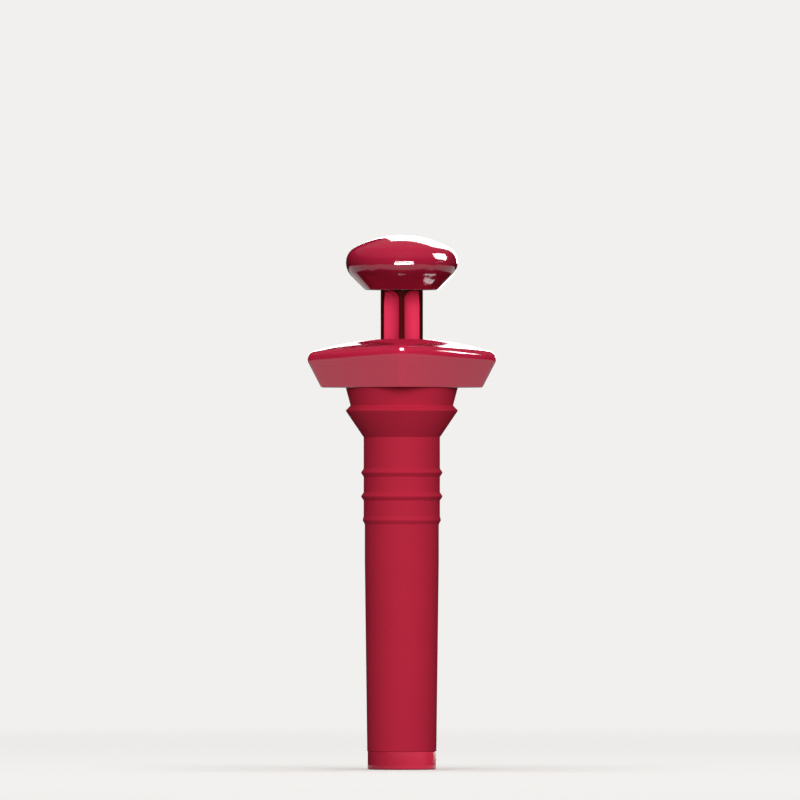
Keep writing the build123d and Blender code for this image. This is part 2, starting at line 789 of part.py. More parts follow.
coil_length = math.hypot(2 * math.pi * valve_spring_radius, coil_rise / valve_spring_turns)
coil_length = coil_length * valve_spring_turns
print(
    "spring: volume over section times length",
    round(valve_spring.part.volume / (math.pi * valve_spring_wire_radius**2 * coil_length), 4),
    "least gap to itself",
    round(coil_rise / valve_spring_turns - 2 * valve_spring_wire_radius, 3),
)
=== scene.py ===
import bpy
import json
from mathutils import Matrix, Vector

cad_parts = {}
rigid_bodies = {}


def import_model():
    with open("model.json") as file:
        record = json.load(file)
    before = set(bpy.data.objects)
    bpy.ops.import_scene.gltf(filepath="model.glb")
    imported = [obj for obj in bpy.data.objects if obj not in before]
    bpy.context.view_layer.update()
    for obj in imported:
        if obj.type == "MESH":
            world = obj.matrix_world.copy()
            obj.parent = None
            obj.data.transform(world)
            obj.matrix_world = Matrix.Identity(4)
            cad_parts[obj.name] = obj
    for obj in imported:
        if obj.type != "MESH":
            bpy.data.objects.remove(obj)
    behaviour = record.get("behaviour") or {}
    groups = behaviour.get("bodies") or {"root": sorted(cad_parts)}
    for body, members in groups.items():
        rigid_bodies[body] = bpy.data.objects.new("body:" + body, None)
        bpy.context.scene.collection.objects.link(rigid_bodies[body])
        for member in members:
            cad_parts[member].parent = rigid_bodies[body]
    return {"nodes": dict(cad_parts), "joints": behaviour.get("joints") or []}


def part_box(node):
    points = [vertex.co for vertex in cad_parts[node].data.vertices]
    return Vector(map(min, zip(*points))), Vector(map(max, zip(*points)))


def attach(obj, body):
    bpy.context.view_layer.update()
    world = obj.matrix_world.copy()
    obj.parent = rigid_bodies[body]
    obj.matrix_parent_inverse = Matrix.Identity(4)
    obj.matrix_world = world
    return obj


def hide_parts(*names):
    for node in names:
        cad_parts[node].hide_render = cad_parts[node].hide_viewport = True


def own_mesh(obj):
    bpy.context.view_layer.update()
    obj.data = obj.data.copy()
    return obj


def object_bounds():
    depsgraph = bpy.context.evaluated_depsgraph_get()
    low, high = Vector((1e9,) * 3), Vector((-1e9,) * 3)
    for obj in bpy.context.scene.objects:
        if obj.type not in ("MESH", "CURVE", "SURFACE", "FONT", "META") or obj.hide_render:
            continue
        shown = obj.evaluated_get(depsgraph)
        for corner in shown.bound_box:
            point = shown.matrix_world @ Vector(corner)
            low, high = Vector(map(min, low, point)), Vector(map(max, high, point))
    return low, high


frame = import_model()
cad_box = [list(corner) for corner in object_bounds()]

import json
import math

import bmesh
import bpy
import numpy as np
from bpy.props import FloatProperty, FloatVectorProperty, PointerProperty
from mathutils import Quaternion, Vector

bl_info = {
    "name": "Wine Pump Looks",
    "version": (1, 0, 0),
    "blender": (4, 5, 0),
    "location": "View3D > Sidebar > Wine Pump",
    "description": "Surfaces, finishes and studio for the packed wine vacuum pump",
    "category": "Object",
}

# Lengths are millimetres, as in the CAD, and become metres when a mesh is made. Only the stage's
# lamps, panels and camera are in metres.
MM = 0.001
TAU = 2 * math.pi

# Clearances that the CAD leaves between neighbours
FIT_GAP = 0.05
LOOSE_GAP = 0.3


def linear(code):
    """An sRGB hex colour as linear values: c / 12.92 up to 0.04045, and above it
    ((c + 0.055) / 1.055) ** 2.4."""
    c = np.array([int(code[i : i + 2], 16) for i in (1, 3, 5)]) / 255
    return np.where(c <= 0.04045, c / 12.92, ((c + 0.055) / 1.055) ** 2.4).tolist()


def node_box(name):
    """Lowest and highest corner of a CAD node, in millimetres."""
    return [np.array(corner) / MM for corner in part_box(name)]


def travel(joint):
    """A joint's lowest and highest place, in millimetres."""
    return next(np.array(j["range_m"]) / MM for j in frame["joints"] if j["name"] == joint)


def size(label, text, default):
    """A length that a user can change, from millimetres."""
    return FloatProperty(
        name=label, description=text, default=default * MM, unit="LENGTH", precision=5
    )


def tint(label, text, code):
    """A colour that a user can change, from a hex code."""
    return FloatVectorProperty(
        name=label, description=text, default=linear(code), subtype="COLOR", min=0, max=1
    )


# Sizes and colours that a user would change

KNOB_LOW, KNOB_HIGH = node_box("knob_base")[0], node_box("knob_cap")[1]
COLLAR_LOW = node_box("collar_bowl")[0]
SLEEVE_LOW, SLEEVE_HIGH = node_box("stopper_sleeve")
ROD_LOW, ROD_HIGH = node_box("plunger_rod")
CAP_LOW, CAP_HIGH = node_box("end_cap")


class PumpSizes(bpy.types.PropertyGroup):
    """Sizes of the visible surfaces. The defaults are the CAD's."""

    knob_radius: size("Knob radius", "Half the knob's width at its belly", KNOB_HIGH[0])
    knob_dome: size("Dome height", "From the belly's seam to the top of the knob", 6.48)
    knob_shoulder: size("Shoulder round", "Radius of the dome's shoulder", 4.1)
    knob_belly: size("Belly round", "Radius below the seam", 4.7)
    rod_radius: size("Rod radius", "Half the plunger rod's width", 5.07)
    flute_radius: size("Flute radius", "Radius of the four flutes", 2.35)
    ridge_round: size("Ridge round", "Radius of the collar's four ridges", 2.5)
    crown_round: size("Crown round", "Radius between the collar's sides and its dome", 2.0)
    dome_radius: size("Collar dome", "Radius of the collar's low dome", 72.0)
    rib_round: size("Rib softness", "Radius at the crest of each sealing rib", 0.12)
    seam_round: size("Seam break", "Radius at both lips of a moulded seam", 0.015)


class PumpColours(bpy.types.PropertyGroup):
    """Colours of the finishes."""

    gloss_red: tint("Gloss red", "Knob and collar", "#C42344")
    # Painted light and shade on the rod: the flute floors' bright red stands in for the light that
    # they catch, and the lands' dark red for shade
    flute_painted_lit_red: tint("Flute red", "Floors of the rod's flutes", "#E2345B")
    land_painted_shade_red: tint("Land red", "Lands of the rod between the flutes", "#4A0307")
    rubber_red: tint("Rubber red", "Stopper sleeve", "#BC253E")
    cap_red: tint("Cap red", "Band at the tip", "#BC2540")
    floor_white: tint("Floor", "Floor and backdrop", "#F1F0EE")


# Surfaces, as grids of points in millimetres


def arc(centre, radius, start, end, steps):
    """Points of an arc: centre + radius (cos t, sin t), with t from start to end in degrees."""
    t = np.radians(np.linspace(start, end, steps))
    return np.column_stack([centre[0] + radius * np.cos(t), centre[1] + radius * np.sin(t)])


def eased(corners, closed=True, steps=7):
    """A section whose corners (radius, height, rounding) are rounded.

    At a corner that turns by t, an arc of radius q starts q tan(t / 2) before the corner and ends
    as far after it. The arc's points are its first one turned about its centre by shares of t."""
    rows = np.array([(*c, 0.0)[:3] for c in corners], float)
    p, q = rows[:, :2], rows[:, 2:]
    before, after = p - np.roll(p, 1, 0), np.roll(p, -1, 0) - p
    if not closed:
        before[0], after[-1] = after[0], before[-1]
    before /= np.linalg.norm(before, axis=1, keepdims=True)
    after /= np.linalg.norm(after, axis=1, keepdims=True)
    turn = np.arctan2(
        before[:, 0] * after[:, 1] - before[:, 1] * after[:, 0], (before * after).sum(1)
    )[:, None]
    first = p - before * q * np.tan(np.abs(turn) / 2)
    centre = first + np.sign(turn) * q * np.column_stack([-before[:, 1], before[:, 0]])
    t = turn * np.linspace(0, 1, steps)
    arm = (first - centre)[:, None, :]
    points = centre[:, None, :] + np.stack(
        [
            arm[..., 0] * np.cos(t) - arm[..., 1] * np.sin(t),
            arm[..., 0] * np.sin(t) + arm[..., 1] * np.cos(t),
        ],
        -1,
    )
    return thinned(points.reshape(-1, 2))


def thinned(points):
    """A polyline without points that repeat the one before."""
    step = np.linalg.norm(np.diff(points, axis=0), axis=1)
    return points[np.concatenate([[True], step > 1e-5])]


def polar(r, a, z):
    """Points (r cos a, r sin a, z), each value spread to the shape of all three."""
    r, a, z = np.broadcast_arrays(r, a, z)
    return np.stack([r * np.cos(a), r * np.sin(a), z], -1)


def turned(section, columns=256, shape=None, centre=(0, 0)):
    """A surface of revolution: (r cos a, r sin a, z) for each section point (r, z) and angle a.

    shape(r, a, z) may draw the radius in, as the flats of a socket do."""
    a = np.arange(columns)[None] * TAU / columns
    r, z = section[:, :1] + 0 * a, section[:, 1:] + 0 * a
    if shape:
        r = shape(r, a, z)
    return polar(r, a, z) + [*centre, 0]


def quads(rows, columns, wrap_rows):
    """Corner indices of a grid's faces. Columns always close on themselves, rows only if asked."""
    steps = rows if wrap_rows else rows - 1
    i, j = np.meshgrid(np.arange(steps), np.arange(columns), indexing="ij")
    here, above, beside = i * columns, (i + 1) % rows * columns, (j + 1) % columns
    return np.stack([here + j, here + beside, above + beside, above + j], -1).reshape(-1, 4)


def placed(name, data):
    """A new object in the scene, from its mesh, light or camera."""
    made = bpy.data.objects.new(name, data)
    bpy.context.scene.collection.objects.link(made)
    return made


def piece(name, grids, body, material, stands_for, sharp=34):
    """One closed mesh from grids of points. A grid wraps its rows unless it ends on the axis.

    Doubled points at poles are merged, faces are turned outwards, and edges sharper than
    the angle stay sharp. The piece then rides on its body and stands for its CAD nodes."""
    points, faces, count = [], [], 0
    for grid in grids:
        rows, columns = grid.shape[:2]
        open_ends = np.ptp(grid[0], axis=0).max() < 1e-6 and np.ptp(grid[-1], axis=0).max() < 1e-6
        faces.append(quads(rows, columns, not open_ends) + count)
        points.append(grid.reshape(-1, 3))
        count += rows * columns
    points, faces = np.concatenate(points) * MM, np.concatenate(faces)
    mesh = bpy.data.meshes.new(name)
    mesh.vertices.add(len(points))
    mesh.vertices.foreach_set("co", points.astype(np.float32).ravel())
    mesh.loops.add(faces.size)
    mesh.loops.foreach_set("vertex_index", faces.astype(np.int32).ravel())
    mesh.polygons.add(len(faces))
    mesh.polygons.foreach_set("loop_start", np.arange(0, faces.size, 4, dtype=np.int32))
    mesh.update(calc_edges=True)
    made = placed(name, mesh)
    tidied(made, sharp)
    made.data.materials.append(material)
    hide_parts(*stands_for)
    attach(made, body)
    return made


def smooth(made, sharp):
    """Shades a piece smooth, except at edges sharper than the angle."""
    made.data.polygons.foreach_set("use_smooth", np.ones(len(made.data.polygons), bool))
    made.data.set_sharp_from_angle(angle=math.radians(sharp))


def tidied(made, sharp):
    """Merges doubles, turns faces outwards and shades smooth except at sharp edges."""
    work = bmesh.new()
    work.from_mesh(made.data)
    bmesh.ops.remove_doubles(work, verts=work.verts, dist=2e-7)
    bmesh.ops.dissolve_degenerate(work, edges=work.edges, dist=1e-8)
    bmesh.ops.recalc_face_normals(work, faces=work.faces)
    work.to_mesh(made.data)
    work.free()
    smooth(made, sharp)


def cut(made, cutters, sharp=34):
    """Takes closed grids away from a piece, and keeps the result as its mesh."""
    for grid in cutters:
        mesh = bpy.data.meshes.new("cutter")
        flat = grid.reshape(-1, 3) * MM
        mesh.from_pydata(flat.tolist(), [], quads(*grid.shape[:2], False).tolist())
        tool = placed("cutter", mesh)
        tidied(tool, sharp)
        change = made.modifiers.new("cut", "BOOLEAN")
        change.operation, change.solver, change.object = "DIFFERENCE", "EXACT", tool
        bpy.context.view_layer.update()
        graph = bpy.context.evaluated_depsgraph_get()
        result = bpy.data.meshes.new_from_object(made.evaluated_get(graph))
        made.modifiers.clear()
        made.data = result
        bpy.data.objects.remove(tool)
    smooth(made, sharp)


# Materials


def add_node(tree, kind, inputs=None, **settings):
    """Adds a shader node, sets its settings, and fills its inputs with values or links.

    A link is another node's socket, or the node itself where its first output is meant."""
    made = tree.nodes.new("ShaderNode" + kind)
    for name, value in settings.items():
        setattr(made, name, value)
    for name, value in (inputs or {}).items():
        if isinstance(value, bpy.types.Node):
            value = value.outputs[0]
        if isinstance(value, bpy.types.NodeSocket):
            tree.links.new(value, made.inputs[name])
        else:
            made.inputs[name].default_value = value
    return made


def finish(name, pattern, *arguments):
    """A material by name, made the first time that it is asked for.

    pattern(tree, coords, ...) adds the nodes that vary over the Object coordinates, and returns
    the values and links of the shader's sockets."""
    if name in bpy.data.materials:
        return bpy.data.materials[name]
    made = bpy.data.materials.new(name)
    made.use_nodes = True
    tree = made.node_tree
    tree.nodes.clear()
    sockets = pattern(tree, add_node(tree, "TexCoord").outputs["Object"], *arguments)
    shader = add_node(tree, "BsdfPrincipled", sockets)
    add_node(tree, "OutputMaterial", {"Surface": shader})
    return made


def per_mm(width):
    """A texture's scale, on coordinates in metres, for features some millimetres wide."""
    return 1 / (width * MM)


def scaled(colour, share):
    """A linear colour made darker or lighter, with the alpha that a node's socket asks for."""
    return [min(c * share, 1) for c in colour] + [1]


def shades(tree, coords, colour, width, dark, light, detail=2.0):
    """A colour that drifts between two shares of itself, in patches some millimetres wide."""
    cloud = add_node(tree, "TexNoise", {"Vector": coords, "Scale": per_mm(width), "Detail": detail})
    ends = {0: cloud, 6: scaled(colour, dark), 7: scaled(colour, light)}
    return add_node(tree, "Mix", ends, data_type="RGBA").outputs[2]


def patches(tree, coords, width, low, high, start=0.3):
    """A roughness that wanders between two values, in patches some millimetres wide."""
    cloud = add_node(tree, "TexNoise", {"Vector": coords, "Scale": per_mm(width), "Detail": 3.0})
    ends = {"From Min": start, "From Max": 0.7, "To Min": low, "To Max": high}
    return add_node(tree, "MapRange", {"Value": cloud, **ends})


def gloss_abs(tree, coords, colour, gloss=0.5, satin=0.0):
    """ABS, injection moulded in a polished tool: deep colour under a clear mirror-like skin.

    The skin has a faint orange peel, about 2.5 mm from swell to swell, a slow change of tone
    where the melt cooled at different speeds, and a few hairline rub marks."""
    drawn_out = {"Vector": coords, "Scale": (1, 0.08, 0.5), "Rotation": (0.4, 0.2, 0.7)}
    streaks = add_node(tree, "Mapping", drawn_out)
    scuffs = add_node(tree, "TexNoise", {"Vector": streaks, "Scale": per_mm(0.25), "Detail": 3.0})
    rubs = add_node(tree, "MapRange", {"Value": scuffs, "From Min": 0.68, "From Max": 0.78})
    haze = patches(tree, coords, 5, 0.05 + satin, 0.09 + satin, start=0.35)
    rough = add_node(tree, "Math", {0: rubs, 1: 0.06, 2: haze}, operation="MULTIPLY_ADD")
    swell = add_node(tree, "TexNoise", {"Vector": coords, "Scale": per_mm(2.5), "Detail": 1.0})
    peel = add_node(tree, "Bump", {"Height": swell, "Distance": 0.0016 * MM})
    skin = add_node(tree, "Bump", {"Height": rubs, "Distance": 0.0003 * MM, "Normal": peel})
    return {
        "Base Color": shades(tree, coords, colour, 14, 0.93, 1.05), "IOR": 1.53,
        "Roughness": rough, "Specular IOR Level": gloss, "Normal": skin,
    }


def silicone(tree, coords, colour):
    """Silicone rubber, compression moulded in a spark-eroded tool: an even satin.

    The tool's grain is about 0.12 mm, drawn at 0.2 mm so that it shows. Where the tool's halves
    met, a flash line 0.1 mm wide runs down both sides. The dry bloom keeps its gloss low."""
    fine = {"Vector": coords, "Scale": per_mm(0.2), "Detail": 3.0, "Roughness": 0.65}
    grain = add_node(tree, "TexNoise", fine)
    across = add_node(tree, "SeparateXYZ", {"Vector": coords})
    away = add_node(tree, "Math", {0: across.outputs["Y"]}, operation="ABSOLUTE")
    half_line = {"From Min": 0.04 * MM, "From Max": 0.1 * MM, "To Min": 1.0, "To Max": 0.0}
    flash = add_node(tree, "MapRange", {"Value": away, **half_line})
    skin = add_node(tree, "Bump", {"Height": grain, "Distance": 0.012 * MM})
    line = add_node(tree, "Bump", {"Height": flash, "Distance": 0.05 * MM, "Normal": skin})
    return {
        "Base Color": shades(tree, coords, colour, 9, 0.94, 1.05, 3.0), "IOR": 1.41,
        "Roughness": patches(tree, coords, 3, 0.5, 0.6), "Specular IOR Level": 0.25,
        "Normal": line,
    }


def painted_light_rod(tree, coords, flute, land, rod_radius):
    """Moulded red rod, semi-gloss, with painted light and shade: the flute floors are painted
    bright red as if lit, and the lands dark red as if in shade.

    The lands are the skin at the rod's full radius, so the painted tone goes by the distance from
    the axis, and changes within 0.1 mm. Fine draw marks run along the rod, 0.15 mm apart."""
    flat = add_node(tree, "Mapping", {"Vector": coords, "Scale": (1, 1, 0)})
    radius = add_node(tree, "VectorMath", {0: flat}, operation="LENGTH")
    lip = {"From Min": (rod_radius - 0.3) * MM, "From Max": (rod_radius - 0.2) * MM}
    in_painted_shade = add_node(tree, "MapRange", {"Value": radius.outputs["Value"], **lip})
    # Painted light and shade: the flute floors are painted bright as if lit, the lands dark as if
    # shaded
    floor = shades(tree, coords, flute, 8, 0.95, 1.04)
    crest = shades(tree, coords, land, 8, 0.9, 1.1)
    tone = add_node(tree, "Mix", {0: in_painted_shade, 6: floor, 7: crest}, data_type="RGBA")
    lengthwise = add_node(tree, "Mapping", {"Vector": coords, "Scale": (1, 1, 0.02)})
    marks = add_node(tree, "TexNoise", {"Vector": lengthwise, "Scale": per_mm(0.15)})
    skin = add_node(tree, "Bump", {"Height": marks, "Distance": 0.0015 * MM})
    return {
        "Base Color": tone.outputs[2], "Roughness": patches(tree, coords, 2, 0.4, 0.5),
        "IOR": 1.5, "Specular IOR Level": 0.2, "Normal": skin,
    }


def plain_polymer(tree, coords, colour, rough, grain, depth, ior, cloud=0.0):
    """An unpainted moulded polymer: its own colour, a fine tool grain, and slow clouding."""
    pits = add_node(tree, "TexNoise", {"Vector": coords, "Scale": per_mm(grain), "Detail": 3.0})
    skin = add_node(tree, "Bump", {"Height": pits, "Distance": depth * MM})
    return {
        "Base Color": shades(tree, coords, colour, 6, 0.92, 1.04, 3.0), "IOR": ior,
        "Roughness": patches(tree, coords, 2, rough - 0.04, rough + 0.05),
        "Subsurface Weight": cloud, "Subsurface Scale": 1.0 * MM, "Normal": skin,
    }


def drawn_steel(tree, coords, colour, rough, along):
    """Steel wire or turned screw steel: bright metal with drawn or turned marks 0.08 mm apart."""
    squeezed = add_node(tree, "Mapping", {"Vector": coords, "Scale": along})
    marks = add_node(tree, "TexNoise", {"Vector": squeezed, "Scale": per_mm(0.08)})
    ends = {"From Min": 0.3, "From Max": 0.7, "To Min": rough - 0.06, "To Max": rough + 0.08}
    dull = add_node(tree, "MapRange", {"Value": marks, **ends})
    skin = add_node(tree, "Bump", {"Height": marks, "Distance": 0.002 * MM})
    return {
        "Base Color": shades(tree, coords, colour, 1.5, 0.85, 1.08, 3.0), "Metallic": 1.0,
        "Roughness": dull, "Normal": skin,
    }


def seen_rays(tree):
    """1 for the rays that show the background: the camera's, and those of gloss and glass."""
    rays = add_node(tree, "LightPath").outputs
    shown = rays["Is Camera Ray"]
    for kind in ("Is Glossy Ray", "Is Transmission Ray"):
        shown = add_node(tree, "Math", {0: shown, 1: rays[kind]}, operation="MAXIMUM")
    return shown


def studio_paper(tree, coords, white):
    """Matt white paper on a roll, with a soft tooth and a barely clouded white.

    Near the object it is lit paper, but bounces only 17 % of the light onto the pump. Within a
    metre it turns into a plain pale glow that only the camera, gloss and glass see, and that meets
    the world without a horizon."""
    paper = shades(tree, coords, white, 90, 0.985, 1.0)
    flat = add_node(tree, "Mapping", {"Vector": coords, "Scale": (1, 1, 0)})
    away = add_node(tree, "VectorMath", {0: flat}, operation="LENGTH")
    fade = {"Value": away.outputs["Value"], "From Min": 0.18, "From Max": 0.75}
    far = add_node(tree, "MapRange", fade)
    seen = seen_rays(tree)
    bounced, black = scaled(linear("#FFFFFF"), 0.17), scaled(linear("#000000"), 1)
    near = add_node(tree, "Mix", {0: seen, 6: bounced, 7: paper}, data_type="RGBA")
    lit = add_node(tree, "Mix", {0: far, 6: near.outputs[2], 7: black}, data_type="RGBA")
    glow = add_node(tree, "Math", {0: far, 1: seen}, operation="MULTIPLY")
    fibres = add_node(tree, "TexNoise", {"Vector": coords, "Scale": per_mm(1.2), "Detail": 3.0})
    tooth = add_node(tree, "Bump", {"Height": fibres, "Distance": 0.01 * MM})
    return {
        "Base Color": lit.outputs[2], "Roughness": 0.85, "Specular IOR Level": 0.0,
        "Normal": tooth, "Emission Color": (*white, 1), "Emission Strength": glow,
    }


def wool_felt(tree, coords):
    """Black wool felt, with a nap that mottles it every 0.8 mm."""
    nap = shades(tree, coords, linear("#101010"), 0.8, 0.4, 1.6, 3.0)
    return {"Base Color": nap, "Roughness": 0.95}


# Knob

# Walls and snap lip of the knob's two mouldings, and how deep the flats are cut that key the rod
KNOB_WALL, SNAP_LIP, FLAT_INSET = 1.8, 1.6, 0.75


class PUMP_OT_knob(bpy.types.Operator):
    """Makes the knob's dome and its belly, two gloss mouldings that snap together at the belly"""

    bl_idname = "wine_pump.knob"
    bl_label = "Knob"

    def execute(self, context):
        sizes, colours = context.scene.pump_sizes, context.scene.pump_colours
        red = finish("gloss_red_moulded_abs", gloss_abs, colours.gloss_red)
        radius, height = sizes.knob_radius / MM, sizes.knob_dome / MM
        shoulder, belly = sizes.knob_shoulder / MM, sizes.knob_belly / MM
        edge = sizes.seam_round / MM
        seam, foot = KNOB_HIGH[2] - height, KNOB_LOW[2]
        dome = turned(self.dome(radius, height, shoulder, seam, edge), 320)
        piece("knob_dome", [dome], "plunger", red, ["knob_cap"])

        flat, screw_room, rod_room = ROD_HIGH[1] - FLAT_INSET + FIT_GAP, 2, ROD_HIGH[0] + 0.13

        def socket(r, a, z):
            """Two flats in the rod's socket: |r sin a| stays under the flat's distance."""
            inside = (r > screw_room) & (r < rod_room) & (z > foot + 0.05)
            inside &= z <= ROD_HIGH[2] + 1e-6
            reach = flat / np.maximum(np.abs(np.sin(a)), 1e-6)
            return np.where(inside, np.minimum(r, reach), r)

        shell = turned(self.belly(radius, belly, seam, foot, edge), 320, socket)
        piece("knob_belly", [shell], "plunger", red, ["knob_base"])
        return {"FINISHED"}

    def crown(self, radius, height, shoulder, seam, steps):
        """The dome's line from its seam to the axis: a shoulder arc, then a flatter arc that leaves
        it at a shared tangent. The flatter radius is ((R - s)^2 + h^2 - s^2) / (2 (h - s))."""
        large = ((radius - shoulder) ** 2 + height**2 - shoulder**2) / (2 * (height - shoulder))
        low = seam + height - large
        meet = math.degrees(math.atan2(seam - low, radius - shoulder))
        round_line = arc((radius - shoulder, seam), shoulder, 0, meet, steps)
        return np.concatenate([round_line, arc((0, low), large, meet, 90, 2 * steps)[1:]])

    def dome(self, radius, height, shoulder, seam, edge):
        """The dome's section: the ceiling, the snap lip and its bead, then the outer line."""
        lip_wall, bead, bead_half = 1.2, 0.15, 0.3
        outer = radius - KNOB_WALL - FIT_GAP
        inner, middle = outer - lip_wall, seam - SNAP_LIP / 2
        ceiling = self.crown(inner, height - KNOB_WALL, shoulder - KNOB_WALL, seam, 24)[::-1]
        lip = [
            (inner, seam), (inner, seam - SNAP_LIP), (outer, seam - SNAP_LIP, 0.2),
            (outer, middle - bead_half), (outer + bead, middle, 0.08), (outer, middle + bead_half),
            (outer, seam), (radius - edge, seam),
        ]
        seam_line = arc((radius - edge, seam + edge), edge, -90, 0, 6)
        skin = self.crown(radius, height, shoulder, seam, 60)[4:]
        return np.concatenate([ceiling, eased(lip, closed=False)[1:], seam_line[1:], skin])

    def belly(self, radius, belly, seam, foot, edge):
        """The belly's section: the round, the 45 degree taper, the foot, the rod's socket, the
        screw boss, and the wall and snap groove inside."""
        groove, groove_half, foot_reach = 0.2, 0.35, 3.69
        boss_wall, boss_roof, screw = 1.9, 1.5, 1.55
        inner, middle = radius - KNOB_WALL, seam - SNAP_LIP / 2
        lean, inner_round = math.sqrt(0.5), belly - KNOB_WALL
        taper_start = (radius - belly * (1 - lean), seam - belly * lean)
        inner_start = (inner - inner_round * (1 - lean), seam - inner_round * lean)
        floor, rod, top = foot + KNOB_WALL, ROD_HIGH[0] + FIT_GAP, ROD_HIGH[2]
        boss, roof = rod + boss_wall, top + boss_roof
        rebate = seam - SNAP_LIP - FIT_GAP
        inside = arc((inner - inner_round, seam), inner_round, -45, -35, 6)
        inside = inside[inside[:, 1] < rebate]
        under = [
            taper_start, (ROD_HIGH[0] + foot_reach, foot, 0.3), (rod, foot, 0.12),
            (rod, foot + 0.3), (rod, top), (screw, top), (screw, roof), (boss, roof, 0.25),
            (boss, floor, 0.3), (inner_start[0] - inner_start[1] + floor, floor), inner_start,
        ]
        snap = [
            (inside[-1][0] + 0.02, rebate), (inner, rebate), (inner, middle - groove_half),
            (inner + groove, middle), (inner, middle + groove_half), (inner, seam),
        ]
        seam_line = arc((radius - edge, seam - edge), edge, 90, 0, 6)
        skin = arc((radius - belly, seam), belly, 0, -45, 48)[4:]
        under, snap = eased(under, closed=False), eased(snap, closed=False)
        return np.concatenate([seam_line, skin, under[1:], inside[1:], snap])


# Rod


